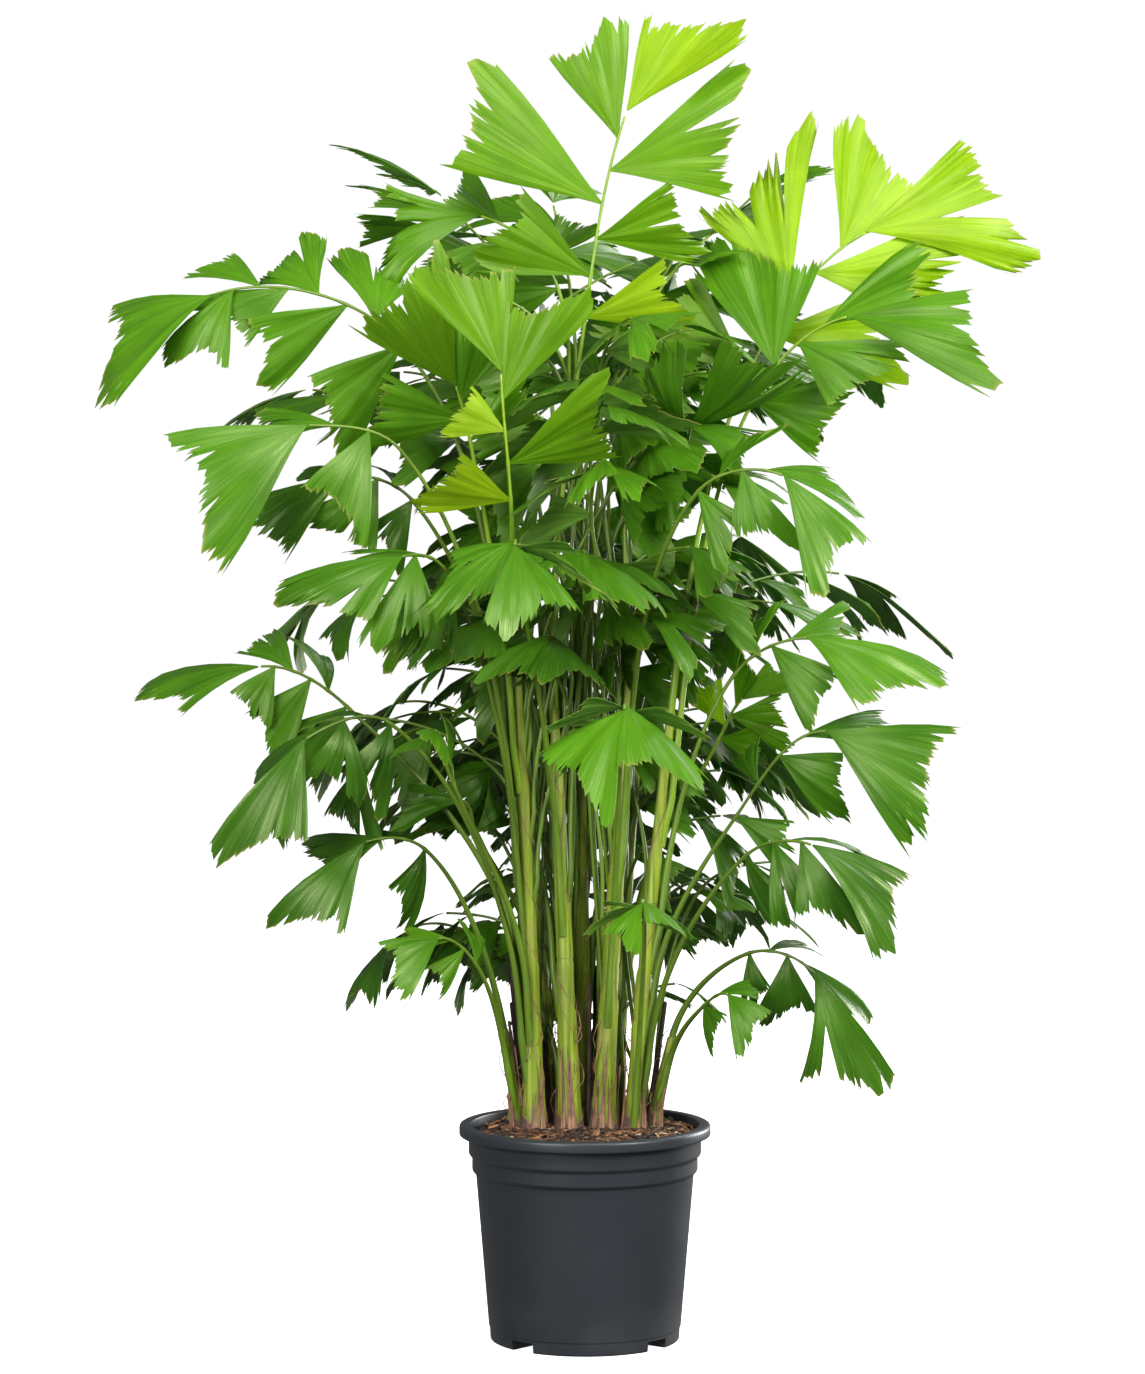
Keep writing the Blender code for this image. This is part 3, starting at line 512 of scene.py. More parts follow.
def frond_flat(tangent, roll, facing):
    """Across and normal of a frond's flat where its rachis runs along tangent."""
    normal = UP * math.cos(roll) + facing * math.sin(roll)
    normal = (normal - tangent * normal.dot(tangent)).normalized()
    return tangent.cross(normal), normal


def pinna_route(frond, rachis, pinna, steps=PINNA_STEPS):
    """Points of a side rachis, which leaves the main one in the frond's flat and droops."""
    at = pinna.share * RACHIS_STEPS
    step = int(at)
    root = blend(rachis[step], rachis[step + 1], at - step)
    tangent = (rachis[step + 1] - rachis[step]).normalized()
    across, _ = frond_flat(tangent, math.radians(frond.roll), facing_of(rachis[-1]))
    out = tangent * math.cos(PINNA_SPREAD) + across * (pinna.side * math.sin(PINNA_SPREAD))
    droop = PINNA_DROOP * frond.age
    shares = [k / steps for k in range(steps + 1)]
    return [root + (out - UP * (droop * share)) * (pinna.length * share) for share in shares]


def pinna_tube(points, extra=0.0):
    """The solid of a side rachis, thicker all round by extra."""
    return tube(points, [TIP_RADIUS + extra] * len(points), RACHIS_SIDES, UP)


def facing_of(tip):
    """The way that the flat of a frond with this tip turns: front, or out at the back."""
    return FRONT if tip.y < BACK_FROM else Vector((tip.x, tip.y, 0.0)).normalized()


def leaflets_of(frond, name, rachis, lengths):
    """The leaflets on a rachis, from its hub to its tip, on alternate sides."""
    chance = random.Random(name)
    facing = facing_of(rachis[-1])
    leaflets = []
    steps, last = len(rachis) - 1, len(lengths) - 1
    for i, length in enumerate(lengths):
        share = i / last
        at = min(share ** 0.9, 0.985) * steps
        step = min(int(at), steps - 1)
        root = blend(rachis[step], rachis[step + 1], at - step)
        tangent = (rachis[step + 1] - rachis[step]).normalized()
        across, normal = frond_flat(tangent, math.radians(frond.roll), facing)
        side = math.copysign(1.0, length)
        ends = {last: END_SPREAD, last - 1: PAIR_SPREAD}
        spread = ends.get(i, blend(FIRST_SPREAD, LAST_SPREAD, share))
        spread += math.radians(chance.uniform(-7.0, 7.0))
        along = tangent * math.cos(spread) + across * (side * math.sin(spread))
        inward = -tangent * math.sin(spread) + across * (side * math.cos(spread))
        twist = math.radians(chance.uniform(-16.0, 16.0))
        inward, normal = turned(inward, along, twist), turned(normal, along, twist)
        fall = (0.03 + FALL_OF_OLD * frond.age) * chance.uniform(0.6, 1.2)
        fall = min(fall, along.angle(-UP) * 0.85)
        swing = along.cross(-UP).normalized()
        along, inward, normal = (turned(v, swing, fall) for v in (along, inward, normal))
        lean = chance.choice((-1.0, 1.0, 1.0))
        sides = (chance.uniform(0.86, 0.99), chance.uniform(0.64, 0.86))
        leaflets.append(Leaflet(
            root, along, inward, normal, abs(length), HALF_OPENING * chance.uniform(0.75, 1.15),
            lean * chance.uniform(0.45, 0.90), sides if lean < 0.0 else sides[::-1],
            (0.10 + BEND_OF_OLD * frond.age) * chance.uniform(0.7, 1.2), chance.uniform(0.1, 0.5)))
    return leaflets


def on_leaflet(leaflet, ray, reach):
    """The point of a leaflet's bent flat on a ray, -1 to 1, at a reach in metres."""
    angle = ray * leaflet.opening
    run, across = reach * math.cos(angle), reach * math.sin(angle)
    curl = leaflet.bend / leaflet.length
    drop = (1.0 - math.cos(curl * run)) / curl + leaflet.cup * across * across / leaflet.length
    return (leaflet.root + leaflet.along * (math.sin(curl * run) / curl)
            + leaflet.across * across - leaflet.normal * drop)


def outline(leaflet):
    """Rays and reaches of a leaflet's torn end: corner, tip, notch, corner, from far to near."""
    far, near = leaflet.sides
    ends = [(-1.0, far), (leaflet.peak, 1.0), (1.0, near)]
    wide = 1 if leaflet.peak > 0.0 else 2
    (ray, share), (other, beside) = ends[wide - 1], ends[wide]
    ends.insert(wide, ((ray + other) / 2.0, (share + beside) / 2.0 * (1.0 - NOTCH)))
    return [(ray, leaflet.length * share) for ray, share in ends]


def blade(leaflet, extra=0.0):
    """A leaflet's thin closed blade: a wedge from inside the rachis to its torn end."""
    half = leaflet.length * THICKNESS_SHARE / 2.0 + extra
    wide, deep = leaflet.across * (BASE_WIDE + extra), leaflet.normal * (BASE_DEEP + extra)
    ends = outline(leaflet)
    middle = on_leaflet(leaflet, leaflet.peak, leaflet.length / 2.0)
    verts = [leaflet.root - wide - deep, leaflet.root + wide - deep, leaflet.root + deep,
             on_leaflet(leaflet, -1.0, ends[0][1] / 2.0), middle + leaflet.normal * half,
             middle - leaflet.normal * half, on_leaflet(leaflet, 1.0, ends[3][1] / 2.0)]
    verts += [on_leaflet(leaflet, ray, reach) for ray, reach in ends]
    left, right, top, low, over, under, high = range(7)
    one, two, three, four = range(7, 11)
    above = [(left, over, low), (left, top, over), (top, right, over), (right, high, over)]
    below = [(left, under, low), (left, right, under), (right, high, under)]
    faces = [(left, right, top), *above, *(face[::-1] for face in below)]
    for crest, order in ((over, 1), (under, -1)):
        row = [(low, two, one), (low, crest, two), (crest, three, two)]
        row += [(crest, four, three), (crest, high, four)]
        faces += [face[::order] for face in row]
    if leaflet.across.cross(leaflet.along).dot(leaflet.normal) < 0.0:
        faces = [face[::-1] for face in faces]
    return verts, faces


def tree_of(shape, first=0):
    """A search tree of a shape's faces, from a given face on."""
    return BVHTree.FromPolygons(shape[0], shape[1][first:])


def ball_of(verts):
    """The middle and radius of a ball round some points."""
    middle = sum(verts, Vector()) / len(verts)
    return middle, max((v - middle).length for v in verts)


class Crown:
    """The space that is taken, by node, to keep each frond clear of the others."""

    def __init__(self):
        self.taken = []

    def add(self, name, shape):
        """Take the space of a shape for a node."""
        self.taken.append((name, tree_of(shape), *ball_of(shape[0])))

    def clear(self, shape, skip=()):
        """Whether a shape touches nothing that is taken, apart from the nodes in skip."""
        tree = tree_of(shape)
        middle, radius = ball_of(shape[0])
        return not any(
            name not in skip and (there - middle).length < radius + size and tree.overlap(other)
            for name, other, there, size in self.taken)


def fill_fronds():
    """Fronds for the back of the crown, level by level round the canes."""
    chance = random.Random("back of the crown")
    tall = [cane for cane in CANES if CANES[cane].top[2] > 0.5]
    fronds = {}
    for level, row in enumerate(FILL_LEVELS):
        count, turn, height, hub_reach, tip_reach, rise, pitch, age, leaves, size = row
        for k in range(count):
            angle = math.radians(turn + k * FILL_ARC / count)
            out = Vector((math.cos(angle), math.sin(angle), 0.0))
            lift = chance.uniform(-FILL_HEIGHT_SPREAD, FILL_HEIGHT_SPREAD)
            centre = Vector((0.0, 0.03, height + lift))
            hub = centre + out * hub_reach
            tip = centre + out * tip_reach * chance.uniform(0.9, 1.1) + UP * rise
            cane = min(tall, key=lambda n: (Vector(CANES[n].top).xy - hub.xy * 0.4).length)
            leave = min(CANES[cane].top[2] - 0.06, height * FILL_LEAVE - 0.05)
            lengths = [size * blend(0.8, 1.0, i / leaves) * (-1) ** i for i in range(leaves)]
            fronds[f"frond_back_{level + 1}_{k + 1}"] = Frond(
                cane, leave, tuple(hub), tuple(tip), pitch, FILL_ROLL, age, tuple(lengths))
    return fronds


ROUTE_TRIES = [(turn, shift, lift) for shift in (0.0, 0.012, -0.012, 0.024, -0.024)
               for turn in (0.0, 0.4, -0.4, 0.8, -0.8) for lift in (0.0, 0.02, -0.02)]
LEAF_TRIES = [(turn, shrink) for shrink in (1.0, 0.88, 0.76)
              for turn in (0.0, 0.18, -0.18, 0.36, -0.36)]


def cane_shape(cane, extra=0.0):
    """A cane's solid, cut flat at the foot."""
    shares = [(k / CANE_STEPS) ** 1.5 for k in range(CANE_STEPS + 1)]
    points = [cane_point(cane, share) for share in shares]
    radii = [cane_radius(cane, share) + extra for share in shares]
    return tube(points, radii, CANE_SIDES, FRONT, UP)


Grown = namedtuple("Grown", "frond choice petiole rachis pinnae leaflets stalk")


def pinnae_of(name):
    """The side rachises that a frond bears."""
    return FILL_PINNAE if name.startswith("frond_back") else ()


def room_for(crown, own, name, leaflet):
    """A leaflet, turned or shrunk until it has room, with its search tree, or None."""
    for turn, shrink in LEAF_TRIES:
        fitted = leaflet._replace(
            along=turned(leaflet.along, leaflet.normal, turn),
            across=turned(leaflet.across, leaflet.normal, turn), length=leaflet.length * shrink)
        shape = blade(fitted, CLEARANCE)
        fan = tree_of(shape, INNER_FACES)
        if not any(fan.overlap(other) for other in own) and crown.clear(shape, skip=(name,)):
            return fitted, fan
    return None


def fitted_leaflets(crown, own, name, wanted):
    """Those of the wanted leaflets that have room, one after the other."""
    fresh = []
    for leaflet in wanted:
        found = room_for(crown, own, name, leaflet)
        if found:
            fresh.append(found[0])
            own.append(found[1])
    return fresh


def grow_leaflets(crown, own, name, made, wanted):
    """Give a frond those of the wanted leaflets that have room."""
    fresh = fitted_leaflets(crown, own, name, wanted)
    for leaflet in fresh:
        crown.add(name, blade(leaflet))
    made.leaflets.extend(fresh)


@functools.lru_cache(maxsize=None)
def grow():
    """Every frond with its route and leaflets, in the solids' order, then the finer growth."""
    crown = Crown()
    for name, cane in CANES.items():
        crown.add(name, cane_shape(cane))
    grown = {}
    for name, frond in {**FRONDS, **fill_fronds()}.items():
        for choice in ROUTE_TRIES:
            route = rachis_route(frond, *choice)
            body = rachis_tube(*route)
            if crown.clear(rachis_tube(*route, CLEARANCE), skip=(frond.cane,)) and crown.clear(body):
                crown.add(name, body)
                grown[name] = Grown(frond, choice, route[0], route[1], [], [], PETIOLE_RADIUS)
                break
    own = {}
    for name, made in grown.items():
        own[name] = [tree_of(rachis_tube(*rachis_route(made.frond, *made.choice)))]
        wanted = leaflets_of(made.frond, name, made.rachis, made.frond.leaves)
        for k, pinna in enumerate(pinnae_of(name)):
            points = pinna_route(made.frond, made.rachis, pinna)
            if crown.clear(pinna_tube(points, CLEARANCE), skip=(name,)):
                made.pinnae.append(pinna)
                crown.add(name, pinna_tube(points))
                own[name].append(tree_of(pinna_tube(points[1:])))
                wanted += leaflets_of(made.frond, f"{name} {k}", points, pinna.leaves)
        grow_leaflets(crown, own[name], name, made, wanted)
    for name, made in list(grown.items()):
        if not name.startswith("frond_back"):
            continue
        lengths = [-length * BETWEEN_SIZE for length in made.frond.leaves[:-1]]
        wanted = leaflets_of(made.frond, name + " between", made.rachis, lengths)
        grow_leaflets(crown, own[name], name, made, wanted)
    grow_shoots(crown, grown)
    return grown


def shoot_tube(petiole, rachis, inward, extra=0.0):
    """The thin stalk of a young shoot, thicker all round by extra."""
    points = petiole + rachis
    radii = [blend(SHOOT_RADIUS, TIP_RADIUS, k / len(points)) + extra for k in range(len(points))]
    return tube(points, radii, RACHIS_SIDES, inward)


def shoot_frond(row, k, chance):
    """A young shoot by a row of its level: from the compost, or from a cane's side."""
    count, turn, foot_reach, height, hub_reach, tip_reach, rise, age, leaves, size = row
    angle = math.radians(turn) + math.tau * k / count + chance.uniform(-0.6, 0.6)
    out = Vector((math.cos(angle), math.sin(angle), 0.0))
    if height < FRONT_FROM:
        out = Vector((out.x, abs(out.y) + 0.15, 0.0)).normalized()
    centre = Vector((0.0, 0.02, height + chance.uniform(-0.06, 0.06)))
    reach = chance.uniform(0.6, 1.1)
    hub, tip = centre + out * hub_reach * reach, centre + out * tip_reach * reach + UP * rise
    lengths = tuple(size * chance.uniform(0.8, 1.1) * (-1) ** i for i in range(leaves))
    if chance.random() < FROM_CANE:
        cane = chance.choice([name for name in CANES if CANES[name].top[2] > 0.5])
        leave = min(CANES[cane].top[2] - 0.04, hub.z - chance.uniform(0.12, 0.30))
    else:
        cane = None
        foot = out * foot_reach * chance.uniform(0.2, 1.25)
        leave = (foot.x, abs(foot.y) + 0.012, SOIL_TOP - 0.004)
    return Frond(cane, leave, tuple(hub), tuple(tip), 0, FILL_ROLL, age, lengths)


def grow_shoots(crown, grown):
    """Young shoots that fill the clump between the canes, where they have room."""
    for level, row in enumerate(SHOOT_LEVELS):
        for k in range(row[0]):
            name = f"shoot_{level + 1}_{k + 1}"
            chance = random.Random(name)
            best = None
            for attempt in range(SHOOT_TRIES):
                frond = shoot_frond(row, k, chance)
                if frond.cane and frond.leave < SHOOT_LOWEST:
                    continue
                route = rachis_route(frond)
                body = shoot_tube(*route)
                if not (crown.clear(shoot_tube(*route, CLEARANCE), skip=(frond.cane,)) and crown.clear(body)):
                    continue
                fitted = fitted_leaflets(crown, [tree_of(body)], name,
                                         leaflets_of(frond, name, route[1], frond.leaves))
                if fitted and (best is None or len(fitted) > len(best.leaflets)):
                    best = Grown(frond, (0.0, 0.0, 0.0), route[0], route[1], [], fitted, SHOOT_RADIUS)
                if best and len(best.leaflets) >= len(frond.leaves) - 1:
                    break
            if best:
                grown[name] = best
                crown.add(name, shoot_tube(best.petiole, best.rachis, rachis_route(best.frond)[2]))
                for leaflet in best.leaflets:
                    crown.add(name, blade(leaflet))


class Pile:
    """Points, faces, finish numbers and places of many small shapes, joined into one mesh."""

    def __init__(self):
        self.points, self.faces, self.finishes, self.places = [], [], [], []
        self.count = 0

    def add(self, points, faces, finishes=0, places=None):
        """Add a shape: faces have four corners, a triangle's last one twice."""
        points = np.asarray(points, float).reshape(-1, 3)
        faces = np.asarray(faces, int)
        self.points.append(points)
        self.faces.append(faces + self.count)
        self.finishes.append(np.broadcast_to(finishes, len(faces)))
        self.places.append(np.zeros((len(points), 2)) if places is None else places)
        self.count += len(points)

    def make(self, name, materials, sharp=math.radians(50.0)):
        """The pile as one smooth object that rides on the plant's body."""
        if not self.count:
            raise RuntimeError(f"{name} has no shapes")
        rows = np.concatenate(self.faces).tolist()
        mesh = bpy.data.meshes.new(name)
        mesh.from_pydata(
            np.concatenate(self.points), [], [row[:3] if row[2] == row[3] else row for row in rows])
        mesh.polygons.foreach_set("material_index", np.concatenate(self.finishes).astype(np.int32))
        corners = np.empty(len(mesh.loops), np.int32)
        mesh.loops.foreach_get("vertex_index", corners)
        layer = mesh.uv_layers.new(name="place")
        layer.uv.foreach_set("vector", np.concatenate(self.places)[corners].astype(np.float32).ravel())
        for finish in materials:
            mesh.materials.append(finish)
        mesh.update()
        mesh.shade_smooth()
        mesh.set_sharp_from_angle(angle=sharp)
        made = bpy.data.objects.new(name, mesh)
        bpy.context.scene.collection.objects.link(made)
        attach(made, BODY)
        return made


def quads(rows, columns, closed=False, start=0):
    """Faces of a grid of points, row by row; closed joins its last column to its first."""
    across = columns if closed else columns - 1
    i, j = np.meshgrid(np.arange(rows - 1), np.arange(across), indexing="ij")
    a, b = i * columns + j, i * columns + (j + 1) % columns
    return start + np.stack([a, b, b + columns, a + columns], axis=-1).reshape(-1, 4)


def shell_faces(rows, columns):
    """Faces of a thin closed shell between two grids, and how many are its outer face."""
    outer = quads(rows, columns)
    size = rows * columns
    inner = outer[:, ::-1] + size
    edge = ([i * columns for i in range(rows - 1, -1, -1)] + list(range(1, columns))
            + [i * columns + columns - 1 for i in range(1, rows)]
            + [(rows - 1) * columns + j for j in range(columns - 2, 0, -1)])
    edge = np.array(edge)
    ahead = np.roll(edge, -1)
    rim = np.stack([ahead, edge, edge + size, ahead + size], axis=-1)
    return np.concatenate([outer, inner, rim]), len(outer)


def chord(rays, first, second):
    """Reaches, on rays between two ends (ray angle, reach), of the straight line that joins them."""
    (left, near), (right, far) = first, second
    return near * far * math.sin(right - left) / (near * np.sin(rays - left) + far * np.sin(right - rays))


def torn_end(leaflet, finish, chance, fineness):
    """Rays across a leaf, its reach on each, how deep the end is torn there, and its slits.

    Lobes of a few teeth each stand out by different amounts. Each tooth rises slowly and
    breaks off behind its point, with a nick part of the way up.
    """
    count = max(7, round(fineness * finish.teeth * leaflet.opening / HALF_OPENING * chance.uniform(0.85, 1.2)))
    widths = np.array([chance.uniform(0.4, 1.8) for k in range(count)])
    starts = np.concatenate([[0.0], np.cumsum(widths)]) / widths.sum() * 2.0 - 1.0
    rays, tears, seams = [-1.0], [0.0], []
    left, stand = chance.randint(2, 3), 0.0
    for start, end in zip(starts, starts[1:]):
        deep = finish.depth * chance.uniform(0.4, 1.5)
        nick = deep * chance.uniform(0.35, 0.75)
        left -= 1
        if left <= 0:
            left, stand = chance.randint(2, 4), finish.step * chance.uniform(-0.4, 1.0)
            deep += finish.step * chance.uniform(0.5, 1.2)
            seams.append(len(rays))
        saw = [(0.10, deep), (0.48, nick * 0.55), (0.58, nick), (0.94, 0.0)]
        if (start + end) / 2.0 > leaflet.peak:
            saw = [(1.0 - share, tear) for share, tear in reversed(saw)]
        rays += [blend(start, end, share) for share, tear in saw]
        tears += [tear + stand for share, tear in saw]
    rays, tears = np.array(rays + [1.0]), np.array(tears + [0.0])
    slits = []
    inner = [k for k in seams if abs(rays[k]) < 0.72]
    for k in chance.sample(inner, min(len(inner), 2 if chance.random() < finish.split / 2.0 else 1)):
        if chance.random() < finish.split:
            tears[k] = chance.uniform(0.30, 0.62)
            slits.append((rays[k], tears[k], chance.uniform(0.008, 0.05), chance.uniform(-0.05, 0.05)))
    body = np.ones(len(rays))
    ends = [(ray * leaflet.opening, reach / leaflet.length) for ray, reach in outline(leaflet)]
    angles = rays * leaflet.opening
    for first, second in zip(ends, ends[1:]):
        part = (angles >= first[0]) & (angles <= second[0])
        body[part] = chord(angles[part], first, second)
    return rays, body, tears, slits


def leaf_shell(leaflet, finish, chance, rows):
    """A fine leaf: a folded, waved thin shell with a torn end; its faces and their places."""
    rays, body, tears, slits = torn_end(leaflet, finish, chance, len(rows) / len(LEAF_ROWS))
    share = np.array(rows)[:, None]
    reach = share * leaflet.length * body * (1.0 - tears * share ** 1.5)
    angle = rays * leaflet.opening * (0.90 + 0.10 * share + 0.11 * np.sin(math.pi * share))
    level = reach / leaflet.length
    lift = np.zeros_like(reach)
    for ray, deep, gap, step in slits:
        parted = np.sign(rays - ray) * np.clip((share - (1.0 - deep)) / deep, 0.0, 1.0)
        angle = angle + parted * gap
        lift = lift + parted * abs(parted) * step * leaflet.length
    run, aside = reach * np.cos(angle), reach * np.sin(angle) + rays * STALK_HALF_WIDTH
    curl = leaflet.bend / leaflet.length
    bent = curl * run
    root, along, across, normal = (
        np.array(v) for v in (leaflet.root, leaflet.along, leaflet.across, leaflet.normal))
    drop = (1.0 - np.cos(bent)) / curl + leaflet.cup * aside * aside / leaflet.length
    face = normal * np.cos(bent)[..., None] + along * np.sin(bent)[..., None]
    spacing = reach * 2.0 * leaflet.opening / len(rays)
    pleat = finish.pleat * spacing * np.where(np.arange(len(rays)) % 2, -1.0, 1.0)
    folds = [(chance.uniform(2.2, 3.6), chance.uniform(0.0, math.tau), 0.55),
             (chance.uniform(4.5, 6.5), chance.uniform(0.0, math.tau), 0.30),
             (chance.uniform(9.0, 12.0), chance.uniform(0.0, math.tau), 0.15)]
    fold = sum(tall * np.sin(beat * rays * math.pi / 2.0 + phase) for beat, phase, tall in folds)
    beat, phase = chance.uniform(1.6, 3.4), chance.uniform(0.0, math.tau)
    wave = finish.wave * level ** 2 * np.sin(level * 7.0 + rays * beat + phase)
    relief = pleat + lift + leaflet.length * (finish.fold * level * fold + wave)
    points = (root + along * (np.sin(bent) / curl)[..., None] + across * aside[..., None]
              - normal * drop[..., None] + face * relief[..., None])
    thin = finish.thickness / 2.0 * (1.0 - 0.5 * share ** 4) * np.ones_like(reach)
    upper, under = points + face * thin[..., None], points - face * thin[..., None]
    faces, tops = shell_faces(*reach.shape)
    if leaflet.across.cross(leaflet.along).dot(leaflet.normal) < 0.0:
        faces = faces[:, ::-1]
    finishes = np.ones(len(faces), int)
    finishes[:tops] = 0
    place = np.stack(np.broadcast_arrays((rays + 1.0) / 2.0, share), axis=-1).reshape(-1, 2)
    return np.concatenate([upper.reshape(-1, 3), under.reshape(-1, 3)]), faces, finishes, np.tile(place, (2, 1))


def slot_of(age):
    """The record's slot that a frond of an age takes its finish from."""
    return next(slot for slot, limit in AGE_LIMITS if age < limit)


def tint_of(age, slot, chance):
    """The tint that suits an age, a little earlier or later by chance."""
    wanted = age + chance.uniform(-0.10, 0.10)
    return min((tint for tint in TINTS if tint.slot == slot), key=lambda tint: abs(tint.age - wanted))


def add_node(tree, kind, settings=None, **sockets):
    """A shader node with settings, its sockets set or linked by name."""
    node = tree.nodes.new(kind)
    for key, value in (settings or {}).items():
        setattr(node, key, value)
    for key, value in sockets.items():
        socket = node.inputs[key.replace("_", " ")]
        if isinstance(value, bpy.types.NodeSocket):
            tree.links.new(value, socket)
        else:
            socket.default_value = value
    return node


def maths(tree, operation, first, second=None):
    """The output of a maths node on one or two numbers or number outputs."""
    node = add_node(tree, "ShaderNodeMath", {"operation": operation})
    for socket, value in zip(node.inputs, (first, second)):
        if isinstance(value, bpy.types.NodeSocket):
            tree.links.new(value, socket)
        elif value is not None:
            socket.default_value = value
    return node.outputs[0]


def mixed(tree, share, low, high):
    """The output of a colour mix between two colours or colour outputs."""
    node = tree.nodes.new("ShaderNodeMix")
    node.data_type = "RGBA"
    for index, value in ((0, share), (6, low), (7, high)):
        socket = node.inputs[index]
        if isinstance(value, bpy.types.NodeSocket):
            tree.links.new(value, socket)
        else:
            socket.default_value = value if index == 0 else (*value, 1.0)
    return node.outputs[2]


def ranged(tree, value, low, high, to_low=0.0, to_high=1.0):
    """A value mapped from one range to another, held at its ends."""
    node = add_node(tree, "ShaderNodeMapRange", Value=value)
    for key, number in (("From Min", low), ("From Max", high), ("To Min", to_low), ("To Max", to_high)):
        node.inputs[key].default_value = number
    return node.outputs["Result"]


def noise_of(tree, place, scale, detail=3.0, stretch=None):
    """The value of a noise at a place, drawn out by a stretch along each axis."""
    if stretch:
        mapping = add_node(tree, "ShaderNodeMapping", Vector=place)
        mapping.inputs["Scale"].default_value = stretch
        place = mapping.outputs[0]
    return add_node(tree, "ShaderNodeTexNoise", Vector=place, Scale=scale, Detail=detail).outputs["Fac"]


def add_bump(tree, shader, height, strength, distance):
    """Relief on a shader from a height."""
    bump = add_node(tree, "ShaderNodeBump", Height=height, Strength=strength, Distance=distance)
    tree.links.new(bump.outputs["Normal"], shader.inputs["Normal"])


def new_finish(name):
    """A material with its tree and Principled shader."""
    made = bpy.data.materials.new(name)
    made.use_nodes = True
    return made, made.node_tree, made.node_tree.nodes["Principled BSDF"]


def leaf_finish(name, colour, rib, roughness, glow, ribs):
    """A leaf's face: fine veins that fan from the stalk, mottling, dry edges, light through it."""
    made, tree, shader = new_finish(name)
    place = add_node(tree, "ShaderNodeUVMap", {"uv_map": "place"}).outputs["UV"]
    split = add_node(tree, "ShaderNodeSeparateXYZ", Vector=place)
    coords = add_node(tree, "ShaderNodeTexCoord").outputs["Object"]
    mottle = noise_of(tree, coords, 16.0)
    bands = noise_of(tree, place, 1.0, 2.0, (9.0, 0.7, 1.0))
    veins = noise_of(tree, place, 1.0, 3.0, (ribs * 2.0, 1.6, 1.0))
    dark = (0.48 * colour[0], 0.60 * colour[1], 0.6 * colour[2])
    base = mixed(tree, ranged(tree, mottle, 0.34, 0.70, 0.0, 0.70), colour, dark)
    banded = mixed(tree, ranged(tree, bands, 0.42, 0.66, 0.0, 0.45), base, dark)
    pale = mixed(tree, ranged(tree, veins, 0.50, 0.66, 0.0, 0.60), banded, rib)
    fringe = maths(tree, "MULTIPLY", ranged(tree, split.outputs["Y"], 0.965, 1.0, 0.0, 0.60),
                   ranged(tree, mottle, 0.42, 0.60))
    tree.links.new(mixed(tree, fringe, pale, (0.360, 0.300, 0.070)), shader.inputs["Base Color"])
    tree.links.new(ranged(tree, bands, 0.3, 0.7, roughness - 0.06, roughness + 0.12), shader.inputs["Roughness"])
    shader.inputs["Specular IOR Level"].default_value = 0.42
    shader.inputs["Specular Tint"].default_value = (*SHEEN, 1.0)
    add_bump(tree, shader, veins, 0.5, 0.0006)
    through = add_node(tree, "ShaderNodeBsdfTranslucent")
    through.inputs["Color"].default_value = (1.35 * colour[0], 1.55 * colour[1], colour[2], 1.0)
    mix = add_node(tree, "ShaderNodeMixShader")
    mix.inputs[0].default_value = glow
    tree.links.new(shader.outputs[0], mix.inputs[1])
    tree.links.new(through.outputs[0], mix.inputs[2])
    tree.links.new(mix.outputs[0], tree.nodes["Material Output"].inputs["Surface"])
    return made


def stalk_finish(name, colour, shade):
    """Green skin of petioles and rachises, with faint lengthwise streaks."""
    made, tree, shader = new_finish(name)
    place = add_node(tree, "ShaderNodeUVMap", {"uv_map": "place"}).outputs["UV"]
    grain = noise_of(tree, place, 1.0, 3.0, (14.0, 22.0, 1.0))
    tree.links.new(mixed(tree, ranged(tree, grain, 0.3, 0.7), colour, shade), shader.inputs["Base Color"])
    add_bump(tree, shader, grain, 0.3, 0.0004)
    shader.inputs["Roughness"].default_value = 0.40
    return made


def fine_stalk(made):
    """A frond's petiole and rachis as a fine tube, swollen at its foot and leaf roots."""
    petiole, rachis, inward = rachis_route(made.frond, *made.choice, finer=FINE_STEPS)
    foot = made.stalk * 1.1
    cane = CANES.get(made.frond.cane)
    if cane and made.frond.leave is None:
        foot = skin_radius(cane, 1.0) * 0.98
    elif cane:
        inward = inward.normalized()
        down = (petiole[0] - petiole[1]).normalized()
        sunk = 2.0 * PETIOLE_RADIUS - made.stalk
        hidden = [petiole[0] + down * run + inward * sink
                  for run, sink in ((0.052, sunk * 1.5), (0.028, sunk * 0.9), (0.010, sunk * 0.3))]
        petiole = hidden + petiole
    points, radii, hub = petiole + rachis[:-1], [], min(RACHIS_RADIUS, made.stalk * 0.8)
    for k, point in enumerate(points):
        if k < len(petiole):
            share = k / len(petiole)
            radius = blend(made.stalk, hub, share) + (foot - made.stalk) * (1.0 - share) ** 6
        else:
            radius = blend(hub, TIP_RADIUS, (k - len(petiole)) / len(rachis)) * 0.92
        near = min(((leaflet.root - point).length for leaflet in made.leaflets), default=1.0)
        radii.append(radius * (1.0 + 0.35 * math.exp(-(near / 0.004) ** 2)))
    return points, radii, inward, rachis


def tube_shape(points, radii, sides, towards):
    """A closed tube with rounded ends, its faces and places along and round it."""
    first, last = (points[0] - points[1]).normalized(), (points[-1] - points[-2]).normalized()
    points = [points[0] + first * radii[0] * 0.3, *points, points[-1] + last * radii[-1] * 0.6]
    radii = [radii[0] * 0.5, *radii, radii[-1] * 0.35]
    verts, faces = tube(points, radii, sides, towards)
    faces = [face if len(face) == 4 else (*face, face[2]) for face in faces]
    run, places = 0.0, []
    for i, point in enumerate(points):
        run += (point - points[max(i - 1, 0)]).length
        places += [(abs(2.0 * k / sides - 1.0), run) for k in range(sides)]
    return verts, faces, places


